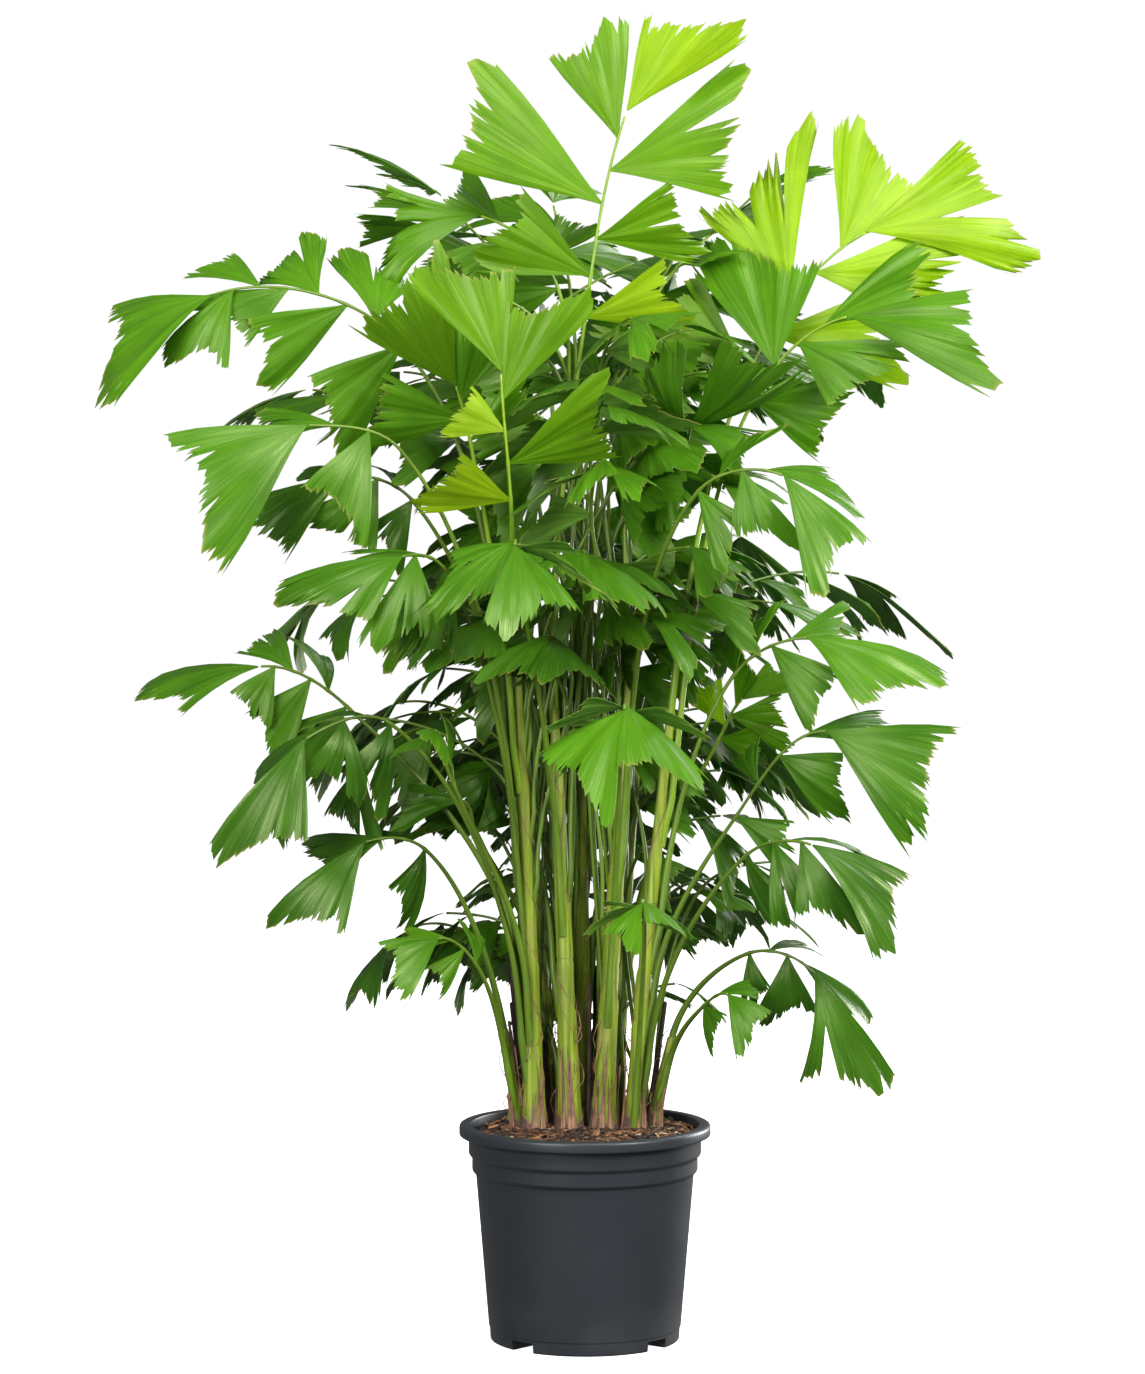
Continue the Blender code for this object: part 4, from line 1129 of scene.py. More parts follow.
def fine_pinna(made, pinna):
    """A side rachis as a fine tube."""
    points = pinna_route(made.frond, made.rachis, pinna, FINE_STEPS)
    return points, [blend(RACHIS_RADIUS, TIP_RADIUS, k / FINE_STEPS) * 0.85 for k in range(len(points))]


def seated(leaflet, lines):
    """A leaflet moved onto the nearest point of the fine rachises."""
    def nearest(start, end):
        run = end - start
        share = min(1.0, max(0.0, (leaflet.root - start).dot(run) / run.length_squared))
        return start + run * share
    spots = [nearest(a, b) for line in lines for a, b in zip(line, line[1:])]
    return leaflet._replace(root=min(spots, key=lambda spot: (spot - leaflet.root).length))


class FISHTAIL_OT_leaves(bpy.types.Operator):
    """Grow the fine leaves of every frond, dealt out by tint"""
    bl_idname = "fishtail.leaves"
    bl_label = "Leaves"

    def execute(self, context):
        finish = context.scene.fishtail_leaves
        dealt = {tint.name: [] for tint in TINTS}
        for name, made in grow().items():
            chance = random.Random(name + " tints")
            lines = [fine_stalk(made)[3]] + [fine_pinna(made, pinna)[0] for pinna in made.pinnae]
            for leaflet in made.leaflets:
                tint = tint_of(made.frond.age, slot_of(made.frond.age), chance)
                dealt[tint.name].append((name, seated(leaflet, lines)))
        for tint in TINTS:
            upper = leaf_finish(tint.name + "_upper", tint.upper, tint.rib, tint.roughness, tint.glow, finish.ribs)
            under = leaf_finish(tint.name + "_under", tint.under, tint.rib, 0.50, tint.glow, finish.ribs)
            leaves = dealt[tint.name]
            chance = random.Random(tint.name + " leaves")
            for first in range(0, len(leaves), LEAVES_A_PIECE):
                batch = leaves[first:first + LEAVES_A_PIECE]
                pile = Pile()
                for name, leaflet in batch:
                    rows = LEAF_ROWS if name.startswith("frond") else INNER_ROWS
                    pile.add(*leaf_shell(leaflet, finish, chance, rows))
                piece = pile.make(f"leaves_{tint.name}_{first // LEAVES_A_PIECE + 1}", [upper, under])
                replaced = sorted({name for name, leaflet in batch if name.startswith("frond")})
                if replaced:
                    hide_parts(*replaced)
        return {"FINISHED"}


class FISHTAIL_OT_stalks(bpy.types.Operator):
    """Grow the petioles and rachises of every frond and shoot"""
    bl_idname = "fishtail.stalks"
    bl_label = "Petioles and rachises"

    def execute(self, context):
        for slot, (colour, shade) in STALK_GREENS.items():
            pile, names = Pile(), []
            for name, made in grow().items():
                if slot_of(made.frond.age) != slot:
                    continue
                points, radii, inward, rachis = fine_stalk(made)
                tubes = [(points, radii)] + [fine_pinna(made, pinna) for pinna in made.pinnae]
                for line, thick in tubes:
                    verts, faces, places = tube_shape(line, thick, FINE_SIDES, inward)
                    pile.add(verts, faces, 0, np.array(places))
                if name.startswith("frond"):
                    names.append(name)
            piece = pile.make("stalks_" + slot, [stalk_finish(slot + "_stalk", colour, shade)])
            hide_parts(*names)
        return {"FINISHED"}


SHEATH_ROWS = (0.0, 0.25, 0.5, 0.7, 0.86, 0.975, 1.0)
# Sheaths at a cane's foot: front height, back height, lift off the skin and finish
FOOT_SHEATHS = ((0.006, 0.050, 0.0014, 2), (0.024, 0.096, 0.0007, 0), (0.060, 0.165, 0.0001, 0))
STUBS = 34


def skin_radius(cane, share):
    """The radius of a cane's fine skin, which slims a little more than the solid."""
    return cane_radius(cane, share) * blend(0.96, 0.83, min(1.0, share / 0.6))


def wrap_points(cane, shares, angles, lift):
    """A grid of points round a cane, a row for each share of its height, lifted off its skin."""
    rows = []
    for i, share in enumerate(shares):
        middle = np.array(cane_point(cane, share))
        radius = skin_radius(cane, share) + lift[i]
        ring = np.stack([np.cos(angles), np.sin(angles), np.zeros_like(angles)], axis=-1)
        rows.append(middle + ring * np.broadcast_to(radius, angles.shape)[:, None])
    return np.array(rows)


def cane_finish(settings, name="cane_skin"):
    """Skin of a cane: lengthwise streaks of two greens, tan patches and a brown foot."""
    made, tree, shader = new_finish(name)
    coords = add_node(tree, "ShaderNodeTexCoord").outputs["Object"]
    grain = noise_of(tree, coords, 1.0, 4.0, (260.0, 260.0, 9.0))
    patch = noise_of(tree, coords, 26.0)
    base = mixed(tree, ranged(tree, grain, 0.35, 0.68), tuple(settings.green), tuple(settings.shade))
    worn = mixed(tree, ranged(tree, patch, 0.56, 0.74, 0.0, 0.28), base, tuple(settings.papery))
    height = add_node(tree, "ShaderNodeSeparateXYZ", Vector=coords).outputs["Z"]
    low = ranged(tree, height, SOIL_TOP + 0.034, SOIL_TOP + 0.004, 0.0, 0.85)
    tree.links.new(mixed(tree, low, worn, tuple(settings.fibre)), shader.inputs["Base Color"])
    add_bump(tree, shader, grain, 0.5, 0.0005)
    tree.links.new(ranged(tree, patch, 0.3, 0.7, 0.34, 0.55), shader.inputs["Roughness"])
    return made


def husk_finish(name, colour, fibre):
    """Dry papery sheath, streaked lengthwise with dark brown fibres."""
    made, tree, shader = new_finish(name)
    coords = add_node(tree, "ShaderNodeTexCoord").outputs["Object"]
    grain = noise_of(tree, coords, 1.0, 4.0, (420.0, 420.0, 20.0))
    patch = noise_of(tree, coords, 60.0)
    dark = tuple(0.45 * c for c in colour)
    base = mixed(tree, ranged(tree, grain, 0.36, 0.66), tuple(colour), dark)
    tree.links.new(
        mixed(tree, ranged(tree, patch, 0.54, 0.70, 0.0, 0.7), base, tuple(fibre)),
        shader.inputs["Base Color"])
    add_bump(tree, shader, grain, 0.6, 0.0006)
    shader.inputs["Roughness"].default_value = 0.85
    return made


class FISHTAIL_OT_canes(bpy.types.Operator):
    """Model the canes with the steps where sheaths end"""
    bl_idname = "fishtail.canes"
    bl_label = "Canes"

    def execute(self, context):
        settings = context.scene.fishtail_canes
        finish = cane_finish(settings)
        for name, cane in CANES.items():
            chance = random.Random(name + " skin")
            shares = np.linspace(0.0, 1.0, settings.rings)
            angles = np.linspace(0.0, math.tau, settings.sides, endpoint=False)
            steps = np.sort([chance.uniform(0.08, 0.98) for k in range(7)])
            lift = []
            for share in shares:
                above = steps[steps > share]
                gap = (above[0] - share) if len(above) else 1.0
                swell = 0.0007 * math.exp(-gap / 0.02)
                rib = 0.00018 * np.sin(angles * 7.0 + chance.uniform(-0.1, 0.1))
                lift.append(swell + rib)
            grid = wrap_points(cane, shares, angles, lift)
            rows, columns = grid.shape[:2]
            points = [*grid.reshape(-1, 3), np.array(cane_point(cane, 0.0)), np.array(cane_point(cane, 1.0))]
            faces = quads(rows, columns, closed=True).tolist()
            foot, top = rows * columns, rows * columns + 1
            for k in range(columns):
                ahead, upper = (k + 1) % columns, (rows - 1) * columns
                faces.append((foot, ahead, k, k))
                faces.append((top, upper + k, upper + ahead, upper + ahead))
            pile = Pile()
            pile.add(points, faces)
            piece = pile.make(name + "_skin", [finish])
            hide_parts(name)
        return {"FINISHED"}


def wrapped_shell(cane, angles, tops, bottom, lift, stand, body=0):
    """A thin shell round a cane, from a level up to a height on each angle, dry at its edge."""
    shares = np.array(SHEATH_ROWS)
    height = cane.top[2] - SOIL_TOP
    outer, inner = [], []
    for share in shares:
        for j, angle in enumerate(angles):
            s = min(max((blend(bottom, tops[j], share) - SOIL_TOP) / height, 0.0), 1.0)
            direction = Vector((math.cos(angle), math.sin(angle), 0.0))
            radius = skin_radius(cane, s) + lift + stand[j] * share ** 3
            outer.append(tuple(cane_point(cane, s) + direction * (radius + 0.0005)))
            inner.append(tuple(cane_point(cane, s) + direction * (radius - 0.0001)))
    faces, count = shell_faces(len(shares), len(angles))
    finishes = np.full(len(faces), body)
    finishes[count:] = 1
    row = np.arange(count) // (len(angles) - 1)
    finishes[:count][row == len(shares) - 2] = 1
    return outer + inner, faces, finishes


def mouth_sheath(cane, leave, facing, chance):
    """The sheath of a petiole: it wraps the cane and is slit in a long V on the far side."""
    columns = 21
    back = abs(np.linspace(-1.0, 1.0, columns))
    angles = facing + np.linspace(-3.08, 3.08, columns)
    slit = chance.uniform(0.035, 0.080)
    tops = leave - 0.002 + 0.012 * (1.0 - back) ** 3 - slit * back ** 1.3
    tops += np.array([0.0006 * chance.uniform(-1.0, 1.0) for k in back])
    bottom = max(SOIL_TOP + 0.002, leave - slit - chance.uniform(0.03, 0.07))
    return wrapped_shell(cane, angles, np.maximum(tops, bottom + 0.004), bottom, 0.0002, 0.0012 * back)


def foot_sheath(cane, facing, low, tall, lift, body, chance):
    """A sheath at a cane's foot: open at the front in a V, drawn to a point behind."""
    columns = 28
    back = abs(np.linspace(-1.0, 1.0, columns))
    angles = facing + math.pi + np.linspace(-3.10, 3.10, columns)
    tops = SOIL_TOP + low + (tall - low) * (1.0 - back) ** 1.25
    tops += np.array([0.0009 * chance.uniform(-1.0, 1.0) for k in back])
    stand = 0.0016 * chance.uniform(0.4, 1.0) * (1.0 - back)
    return wrapped_shell(cane, angles, tops, SOIL_TOP - 0.001, lift, stand, body)


def husk_shell(cane, facing, wrap, tall, lift, chance):
    """A dry husk on a cane: wide below, drawn to a long point that stands off above."""
    rows, columns = 12, 7
    height = cane.top[2] - SOIL_TOP
    lean, curl = chance.uniform(-0.25, 0.25), chance.uniform(0.0004, 0.0034)
    outer, inner = [], []
    for i in range(rows):
        share = i / (rows - 1)
        half = wrap / 2.0 * (1.0 - share) ** 0.85 + 0.02
        for j in range(columns):
            side = 2.0 * j / (columns - 1) - 1.0
            angle = facing + lean * share + side * half * chance.uniform(0.95, 1.05)
            s = tall * share * (1.0 - 0.06 * abs(side)) / height
            direction = Vector((math.cos(angle), math.sin(angle), 0.0))
            stand = skin_radius(cane, s) + lift + curl * share ** 2 + 0.0004 * math.sin(9.0 * side + 4.0 * share)
            middle = cane_point(cane, s)
            outer.append(tuple(middle + direction * (stand + 0.0007)))
            inner.append(tuple(middle + direction * (stand - 0.0002)))
    faces, tops = shell_faces(rows, columns)
    return outer + inner, faces, np.ones(len(faces), int)


def stub_shape(chance):
    """The rotted stub of an old stalk between the canes. Its very dark brown is partly the stub's own colour and partly
    painted shade of the gaps there.
    """
    x, y = chance.uniform(-0.072, 0.078), chance.uniform(0.004, 0.062)
    tall = chance.uniform(0.05, 0.24) * (1.0 - 0.35 * abs(x) / 0.08)
    lean = Vector((0.16 * x / 0.08, 0.05, 1.0))
    points = [Vector((x, y, SOIL_TOP - 0.003)) + lean * (tall * k / 5) for k in range(6)]
    thick = chance.uniform(0.0024, 0.0052)
    verts, faces, places = tube_shape(points, [thick * (1.0 - 0.09 * k) for k in range(6)], 9, UP.cross(lean))
    return verts, faces


def fibre_shape(cane, chance):
    """A loose fibre that hangs from a cane's foot."""
    angle = chance.uniform(0.0, math.tau)
    low = chance.uniform(0.01, 0.10) / (cane.top[2] - SOIL_TOP)
    tall = chance.uniform(0.012, 0.040)
    points = []
    for k in range(7):
        share = k / 6
        stand = 0.0012 + 0.006 * math.sin(math.pi * share) * chance.uniform(0.6, 1.0)
        direction = Vector((math.cos(angle + 0.5 * share), math.sin(angle + 0.5 * share), 0.0))
        middle = cane_point(cane, low + tall * share / (cane.top[2] - SOIL_TOP))
        points.append(middle + direction * (cane_radius(cane, low) + stand))
    verts, faces, places = tube_shape(points, [0.00055] * len(points), 4, UP)
    return verts, faces


class FISHTAIL_OT_sheaths(bpy.types.Operator):
    """Wrap a sheath round the cane under each petiole, and dry husks round the feet"""
    bl_idname = "fishtail.sheaths"
    bl_label = "Sheaths"

    def execute(self, context):
        settings = context.scene.fishtail_canes
        green = cane_finish(settings, "sheath_green")
        dry = husk_finish("sheath_dry", settings.papery, settings.fibre)
        pile = Pile()
        for name, made in grow().items():
            frond, cane = made.frond, CANES.get(made.frond.cane)
            if cane is None or frond.leave is None or name.startswith("shoot"):
                continue
            chance = random.Random(name + " sheath")
            leave = made.petiole[0].z
            out = made.petiole[0] - cane_point(cane, (leave - SOIL_TOP) / (cane.top[2] - SOIL_TOP))
            pile.add(*mouth_sheath(cane, leave, math.atan2(out.y, out.x), chance))
        for name, cane in CANES.items():
            chance = random.Random(name + " husks")
            for k, (low, tall, lift, body) in enumerate(FOOT_SHEATHS):
                facing = -math.pi / 2.0 + (1.0 - 1.6 * (k % 2)) * chance.uniform(0.0, 0.7)
                pile.add(*foot_sheath(cane, facing, low * chance.uniform(0.7, 1.3),
                                      tall * chance.uniform(0.8, 1.2), lift, body, chance))
            for k in range(4):
                facing = -math.pi / 2.0 + (math.pi if k == 3 else 0.0) + chance.uniform(-1.4, 1.4)
                pile.add(*husk_shell(cane, facing, chance.uniform(0.24, 0.52), chance.uniform(0.040, 0.110),
                                     0.0022, chance))
            for k in range(5):
                verts, faces = fibre_shape(cane, chance)
                pile.add(verts, faces, 1)
        # Rotted stubs between the canes. Their very dark brown is partly painted shade that fills the shadowed gaps
        chance = random.Random("stubs")
        for k in range(STUBS):
            verts, faces = stub_shape(chance)
            pile.add(verts, faces, 3)
        cup = husk_finish("sheath_cup", settings.cup, settings.fibre)
        # The stubs' finish: rotted brown, darkened as painted shade of the gaps between the canes
        rotten = husk_finish("sheath_rotten", settings.rotten, settings.fibre)
        piece = pile.make("leaf_sheaths", [green, dry, cup, rotten])
        return {"FINISHED"}


def rounded(corners, radii, steps=4):
    """A profile's corners with those that have a radius turned into short arcs."""
    out = []
    for k, (corner, radius) in enumerate(zip(corners, radii)):
        here = np.array(corner)
        if radius <= 0.0:
            out.append(tuple(here))
            continue
        back, ahead = np.array(corners[k - 1]) - here, np.array(corners[k + 1]) - here
        radius = min(radius, 0.45 * np.linalg.norm(back), 0.45 * np.linalg.norm(ahead))
        start = here + back / np.linalg.norm(back) * radius
        end = here + ahead / np.linalg.norm(ahead) * radius
        for i in range(steps + 1):
            s = i / steps
            out.append(tuple(start * (1 - s) ** 2 + here * 2 * s * (1 - s) + end * s * s))
    return out


def wall_radius(height):
    """The outer radius of the pot's tapering wall at a height."""
    return blend(BASE_RADIUS, WALL_TOP_RADIUS, height / COLLAR_BOTTOMS[-1])


def pot_profile():
    """Radius and height round the pot's wall, with soft edges and a ledge above the foot."""
    low, high = COLLAR_BOTTOMS[-1], COLLAR_BOTTOMS[0]
    small, large = COLLAR_RADII[-1], COLLAR_RADII[0]
    under_rim = POT_HEIGHT - RIM_HEIGHT
    ledge = LEDGE_HEIGHT
    corners = [
        (0.0, 0.0), (BASE_RADIUS - 0.0006, 0.0), (wall_radius(ledge) - 0.0010, ledge),
        (wall_radius(ledge), ledge + 0.0008), (wall_radius(low), low), (small, low + COLLAR_SLOPE),
        (small, high), (large, high + COLLAR_SLOPE), (large, under_rim), (RIM_RADIUS, under_rim),
        (RIM_RADIUS, POT_HEIGHT), (large - WALL, POT_HEIGHT), (large - WALL, high + COLLAR_SLOPE),
        (wall_radius(low) - WALL, low), (BASE_RADIUS - WALL, FLOOR), (0.0, FLOOR)]
    radii = [0.0, 0.0025, 0.0004, 0.0004, 0.0012, 0.0020, 0.0012, 0.0020, 0.0015, 0.0022,
             0.0040, 0.0020, 0.0020, 0.0020, 0.0020, 0.0]
    return rounded(corners, radii)


def turned_shape(profile, sides):
    """Points and faces of a solid of revolution whose profile starts and ends on the axis."""
    verts, faces, rings = [], [], []
    for radius, height in profile:
        count = sides if radius > 0.0 else 1
        rings.append(list(range(len(verts), len(verts) + count)))
        angles = [math.tau * (k + 0.5) / sides for k in range(count)]
        verts += [(radius * math.cos(a), radius * math.sin(a), height) for a in angles]
    for ring, above in zip(rings, rings[1:]):
        for k in range(sides):
            corners = [ring[k % len(ring)], ring[(k + 1) % len(ring)],
                       above[(k + 1) % len(above)], above[k % len(above)]]
            corners = list(dict.fromkeys(corners))
            faces.append(tuple(corners if len(corners) == 4 else (*corners, corners[-1])))
    return verts, faces


def box_shape(low, high, angle):
    """A box from corner to corner, turned about the pot's axis."""
    (x0, y0, z0), (x1, y1, z1) = low, high
    plan = (x0, y0), (x1, y0), (x1, y1), (x0, y1)
    verts = [turned(Vector((x, y, z)), UP, angle) for z in (z0, z1) for x, y in plan]
    return verts, [(3, 2, 1, 0), (4, 5, 6, 7), (0, 1, 5, 4), (1, 2, 6, 5), (2, 3, 7, 6), (3, 0, 4, 7)]


def plastic_finish(settings):
    """Satin charcoal plastic with moulded grain, dust towards the base and pale scuffs."""
    made, tree, shader = new_finish("nursery_plastic")
    coords = add_node(tree, "ShaderNodeTexCoord").outputs["Object"]
    cloud = noise_of(tree, coords, 14.0, 5.0)
    speck = noise_of(tree, coords, 420.0, 2.0)
    height = add_node(tree, "ShaderNodeSeparateXYZ", Vector=coords).outputs["Z"]
    dusty = maths(tree, "MULTIPLY", ranged(tree, height, 0.060, 0.004, 0.0, 0.35), ranged(tree, cloud, 0.42, 0.66))
    base = mixed(tree, dusty, tuple(settings.plastic), tuple(settings.dust))
    marks = ranged(tree, speck, 0.72, 0.80, 0.0, 0.4)
    tree.links.new(mixed(tree, marks, base, tuple(settings.dust)), shader.inputs["Base Color"])
    tree.links.new(ranged(tree, cloud, 0.3, 0.7, 0.34, 0.48), shader.inputs["Roughness"])
    shader.inputs["Specular IOR Level"].default_value = 0.40
    add_bump(tree, shader, noise_of(tree, coords, 900.0, 2.0), 0.25, 0.0002)
    return made


class FISHTAIL_OT_pot(bpy.types.Operator):
    """Model the nursery pot with its rim, collars, drain grooves and holes"""
    bl_idname = "fishtail.pot"
    bl_label = "Nursery pot"

    def execute(self, context):
        settings = context.scene.fishtail_pot
        pile = Pile()
        pile.add(*turned_shape(pot_profile(), settings.sides))
        pot = pile.make("nursery_pot", [plastic_finish(settings)])
        cutters = bpy.data.collections.new("pot_cutters")
        context.scene.collection.children.link(cutters)
        for k in range(GROOVES):
            angle = GROOVE_TURN + math.tau * k / GROOVES
            groove = box_shape((GROOVE_INNER, -GROOVE_WIDTH / 2, -GROOVE_DEPTH),
                               (RIM_RADIUS, GROOVE_WIDTH / 2, GROOVE_DEPTH), angle)
            middle = turned(Vector((DRAIN_AT, 0.0, 0.0)), UP, angle)
            hole = tube([middle + UP * GROOVE_DEPTH * 0.5, middle + UP * (FLOOR + WALL)],
                        [DRAIN_RADIUS] * 2, 24, Vector((1.0, 0.0, 0.0)))
            for verts, faces in (groove, hole):
                mesh = bpy.data.meshes.new("cutter")
                mesh.from_pydata([tuple(v) for v in verts], [], faces)
                cutters.objects.link(bpy.data.objects.new("cutter", mesh))
        cut = pot.modifiers.new("cut", "BOOLEAN")
        cut.operation, cut.operand_type, cut.collection = "DIFFERENCE", "COLLECTION", cutters
        seen = pot.evaluated_get(context.evaluated_depsgraph_get())
        pot.data = bpy.data.meshes.new_from_object(seen)
        pot.modifiers.clear()
        for cutter in list(cutters.objects):
            bpy.data.objects.remove(cutter)
        bpy.data.collections.remove(cutters)
        pot.data.shade_smooth()
        pot.data.set_sharp_from_angle(angle=math.radians(40.0))
        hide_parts("pot")
        return {"FINISHED"}


def earth_height(x, y):
    """The height of the compost's rough top at a place."""
    radius = math.hypot(x, y)
    base = blend(SOIL_TOP, SOIL_EDGE, min(1.0, max(0.0, (radius - 0.085) / 0.045)))
    rough = noise.fractal(Vector((x * 45.0, y * 45.0, 3.1)), 0.8, 2.2, 4)
    return base + 0.0022 * rough


def chip_shape(chance, middle, length, width, thick):
    """A jagged splinter of bark, tilted as it fell."""
    turn = Matrix.Rotation(chance.uniform(0.0, math.tau), 3, "Z") @ Matrix.Rotation(
        chance.uniform(-0.5, 0.5), 3, "Y") @ Matrix.Rotation(chance.uniform(-0.5, 0.5), 3, "X")
    verts = []
    for z in (-0.5, 0.5):
        for x, y in ((-0.5, -0.5), (0.5, -0.5), (0.5, 0.5), (-0.5, 0.5)):
            place = Vector((x * length * chance.uniform(0.6, 1.0), y * width * chance.uniform(0.35, 1.0),
                            z * thick * chance.uniform(0.5, 1.0)))
            verts.append(middle + turn @ place)
    faces = [(3, 2, 1, 0), (4, 5, 6, 7), (0, 1, 5, 4), (1, 2, 6, 5), (2, 3, 7, 6), (3, 0, 4, 7)]
    return verts, faces


def bark_finish(name, colour):
    """Fibrous bark of one plain tint, darker in its grain."""
    made, tree, shader = new_finish(name)
    coords = add_node(tree, "ShaderNodeTexCoord").outputs["Object"]
    grain = noise_of(tree, coords, 260.0, 4.0)
    tree.links.new(
        mixed(tree, ranged(tree, grain, 0.35, 0.65), colour, tuple(0.4 * c for c in colour)),
        shader.inputs["Base Color"])
    add_bump(tree, shader, grain, 0.7, 0.0008)
    shader.inputs["Roughness"].default_value = 0.9
    return made


BARKS = (("dark", (0.026, 0.012, 0.006), 0.50), ("rust", (0.125, 0.046, 0.015), 0.29),
         ("tan", (0.290, 0.145, 0.060), 0.14), ("pale", (0.640, 0.470, 0.290), 0.02),
         ("mossy", (0.180, 0.165, 0.038), 0.05))


class FISHTAIL_OT_compost(bpy.types.Operator):
    """Fill the pot with compost, bark chips and curled fibres"""
    bl_idname = "fishtail.compost"
    bl_label = "Compost and bark"

    def execute(self, context):
        settings = context.scene.fishtail_compost
        sides, rings = 96, 34
        low, high, large = COLLAR_BOTTOMS[-1], COLLAR_BOTTOMS[0], COLLAR_RADII[0]
        clear = WALL + GAP
        wide = large - clear
        profile = [(0.0, FLOOR + GAP), (BASE_RADIUS - clear, FLOOR + GAP), (wall_radius(low) - clear, low + GAP),
                   (wide, high + COLLAR_SLOPE + GAP)]
        profile += [(wide * (1.0 - k / rings), SOIL_EDGE) for k in range(rings + 1)]
        verts, faces = turned_shape(profile, sides)
        verts = [(x, y, earth_height(x, y) if z >= SOIL_EDGE - GAP else z) for x, y, z in verts]
        pile = Pile()
        pile.add(verts, faces)
        earth = pile.make("compost_bed", [bark_finish("compost_earth", tuple(settings.earth))])
        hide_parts("soil")
        chance = random.Random("bark chips")
        piles = {name: Pile() for name, colour, share in BARKS}
        kinds, shares = [b[0] for b in BARKS], [b[2] for b in BARKS]
        for k in range(settings.chips + settings.shreds):
            angle, radius = chance.uniform(0.0, math.tau), 0.121 * math.sqrt(chance.random())
            x, y = radius * math.cos(angle), radius * math.sin(angle)
            if any(math.hypot(x - c.foot[0], y - c.foot[1]) < c.foot_radius + 0.003 for c in CANES.values()):
                continue
            kind = chance.choices(kinds, shares)[0]
            if kind == "mossy" and not (x > 0.04 and y > -0.03):
                kind = "tan"
            middle = Vector((x, y, earth_height(x, y)))
            if k < settings.chips:
                size = chance.uniform(0.007, 0.030) * (1.2 if kind == "pale" else 1.0)
                verts, faces = chip_shape(chance, middle + UP * chance.uniform(0.0, 0.0030), size,
                                          size * chance.uniform(0.12, 0.45), chance.uniform(0.0010, 0.0034))
            else:
                verts, faces = shred_shape(chance, middle)
            if max(math.hypot(v[0], v[1]) for v in verts) > wide - 0.0015:
                continue
            piles[kind].add(verts, faces)
        for name, colour, share in BARKS:
            piece = piles[name].make("bark_" + name, [bark_finish("bark_" + name, colour)], math.radians(30.0))
        return {"FINISHED"}


def shred_shape(chance, middle):
    """A curled fibre that lies on the compost."""
    reach, turn = chance.uniform(0.014, 0.046), chance.uniform(0.0, math.tau)
    heading = Vector((math.cos(turn), math.sin(turn), 0.0))
    swing = heading.cross(UP) * (chance.uniform(-0.5, 0.5) * reach)
    points = []
    for k in range(7):
        arch = math.sin(math.pi * k / 6)
        points.append(middle + heading * (reach * (k / 6 - 0.5)) + swing * arch
                      + UP * (0.0012 + 0.0035 * arch * chance.uniform(0.8, 1.0)))
    verts, faces, places = tube_shape(points, [chance.uniform(0.0006, 0.0019)] * 7, 4, UP)
    return verts, faces


def white_finish(name, base, glow):
    """A white surface that gives some light of its own."""
    made, tree, shader = new_finish(name)
    shader.inputs["Base Color"].default_value = (*base, 1.0)
    shader.inputs["Roughness"].default_value = 0.9
    shader.inputs["Specular IOR Level"].default_value = 0.0
    shader.inputs["Emission Color"].default_value = (1.0, 1.0, 1.0, 1.0)
    shader.inputs["Emission Strength"].default_value = glow
    return made


def stage_piece(name, verts, faces, finish):
    """A piece of the studio, which isn't part of the plant."""
    mesh = bpy.data.meshes.new(name)
    mesh.from_pydata(verts, [], faces)
    mesh.materials.append(finish)
    made = bpy.data.objects.new(name, mesh)
    bpy.context.scene.collection.objects.link(made)
    return made


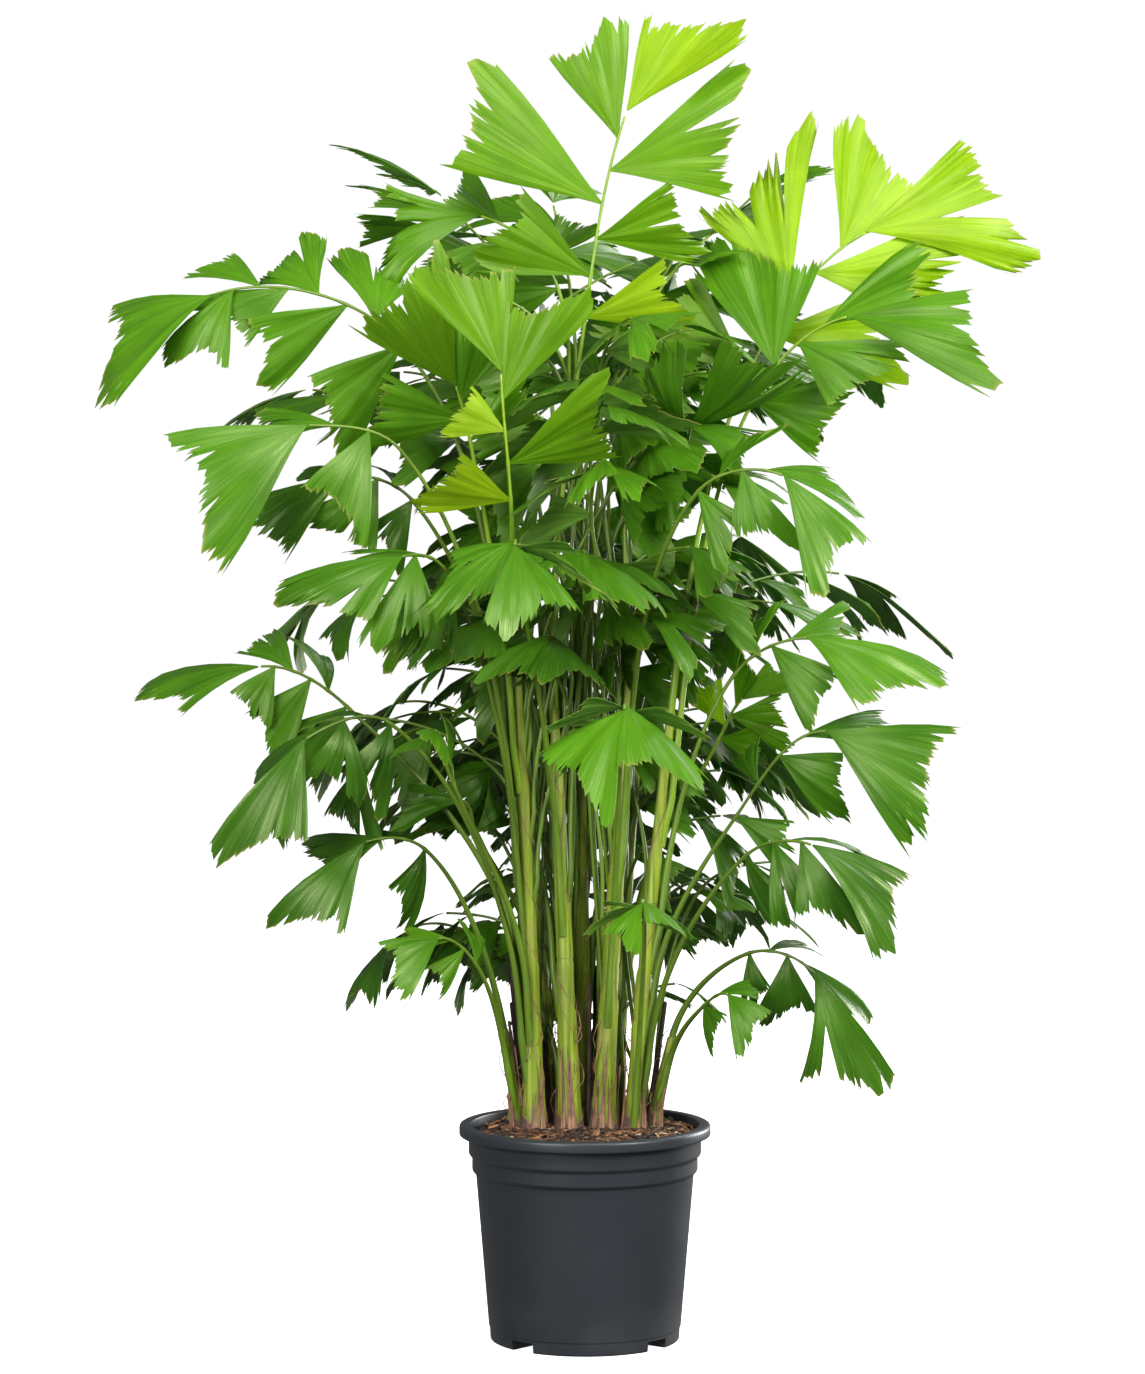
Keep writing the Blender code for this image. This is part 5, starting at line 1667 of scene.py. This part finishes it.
class FISHTAIL_OT_stage(bpy.types.Operator):
    """Set up the pale floor, the white backdrop, the soft lights and the camera"""
    bl_idname = "fishtail.stage"
    bl_label = "Studio"

    def execute(self, context):
        settings = context.scene.fishtail_studio
        scene = context.scene
        scene.view_settings.view_transform = "Standard"
        world = bpy.data.worlds.new("white_surroundings")
        world.use_nodes = True
        sky = world.node_tree.nodes["Background"]
        sky.inputs["Color"].default_value = (1.0, 1.0, 1.0, 1.0)
        sky.inputs["Strength"].default_value = settings.sky
        scene.world = world
        reach, count = 14.0, 96
        ring = [(reach * math.cos(math.tau * k / count), reach * math.sin(math.tau * k / count), 0.0)
                for k in range(count)]
        floor = stage_piece("studio_floor", ring, [tuple(range(count))],
                            white_finish("studio_floor", tuple(settings.floor), settings.floor_glow))
        arc = [(15.0 * math.cos(math.pi * k / 24), 15.0 * math.sin(math.pi * k / 24)) for k in range(-12, 13)]
        verts, faces = turned_shape([(0.0, -15.0), *arc[1:-1], (0.0, 15.0)], count)
        faces = [tuple(dict.fromkeys(face)) for face in faces]
        dome = stage_piece("studio_backdrop", verts, faces, white_finish("studio_backdrop", (0.0, 0.0, 0.0), 1.02))
        for kind in ("diffuse", "glossy", "transmission", "volume_scatter", "shadow"):
            setattr(dome, "visible_" + kind, False)
            setattr(floor, "visible_" + kind, False)
        lights = (("key_light", (2.3, -2.3, 2.3), 1.4, settings.key),
                  ("fill_light", (-1.7, -2.8, 1.5), 1.7, settings.fill),
                  ("front_light", (0.4, -2.1, 3.7), 1.7, settings.front),
                  ("back_light", (1.5, 2.1, 2.6), 2.0, settings.back),
                  ("edge_light", (2.3, 1.9, 0.7), 1.1, settings.edge))
        for name, place, size, power in lights:
            data = bpy.data.lights.new(name, "AREA")
            data.shape, data.size, data.energy = "DISK", size, power
            light = bpy.data.objects.new(name, data)
            light.location = place
            light.rotation_euler = (Vector((0.0, 0.0, 0.85)) - light.location).to_track_quat("-Z", "Y").to_euler()
            light.visible_camera = False
            scene.collection.objects.link(light)
        lens = bpy.data.cameras.new("photo_camera")
        lens.lens, lens.sensor_width = settings.focal, 36.0
        camera = bpy.data.objects.new("photo_camera", lens)
        camera.location = settings.camera_place
        camera.rotation_euler = (math.pi / 2.0 - settings.camera_dip, 0.0, 0.0)
        scene.collection.objects.link(camera)
        scene.camera = camera
        return {"FINISHED"}


class FISHTAIL_PT_panel(bpy.types.Panel):
    """Lists the pieces of the palm."""
    bl_idname = "FISHTAIL_PT_panel"
    bl_label = "Fishtail palm"
    bl_space_type = "VIEW_3D"
    bl_region_type = "UI"
    bl_category = "Fishtail palm"

    def draw(self, context):
        for group, operators in PIECES.items():
            box = self.layout.box()
            settings = getattr(context.scene, group)
            for key in settings.bl_rna.properties.keys():
                if key not in ("rna_type", "name"):
                    box.prop(settings, key)
            for operator in operators:
                box.operator(operator.bl_idname)


GROUPS = {"fishtail_pot": PotFinish, "fishtail_compost": CompostFinish, "fishtail_canes": CaneFinish,
          "fishtail_leaves": LeafFinish, "fishtail_studio": StudioFinish}
PIECES = {"fishtail_pot": (FISHTAIL_OT_pot,), "fishtail_compost": (FISHTAIL_OT_compost,),
          "fishtail_canes": (FISHTAIL_OT_canes, FISHTAIL_OT_sheaths),
          "fishtail_leaves": (FISHTAIL_OT_stalks, FISHTAIL_OT_leaves), "fishtail_studio": (FISHTAIL_OT_stage,)}


def register():
    """Register the settings, the operators and the panel."""
    for name, group in GROUPS.items():
        bpy.utils.register_class(group)
        setattr(bpy.types.Scene, name, bpy.props.PointerProperty(type=group))
    for operators in PIECES.values():
        for operator in operators:
            bpy.utils.register_class(operator)
    bpy.utils.register_class(FISHTAIL_PT_panel)


def unregister():
    """Remove the panel, the operators and the settings."""
    bpy.utils.unregister_class(FISHTAIL_PT_panel)
    for operators in PIECES.values():
        for operator in operators:
            bpy.utils.unregister_class(operator)
    for name, group in GROUPS.items():
        delattr(bpy.types.Scene, name)
        bpy.utils.unregister_class(group)


def main():
    """Make every piece and the studio, in order."""
    register()
    for operators in PIECES.values():
        for operator in operators:
            group, action = operator.bl_idname.split(".")
            getattr(getattr(bpy.ops, group), action)()


if __name__ == "__main__":
    main()
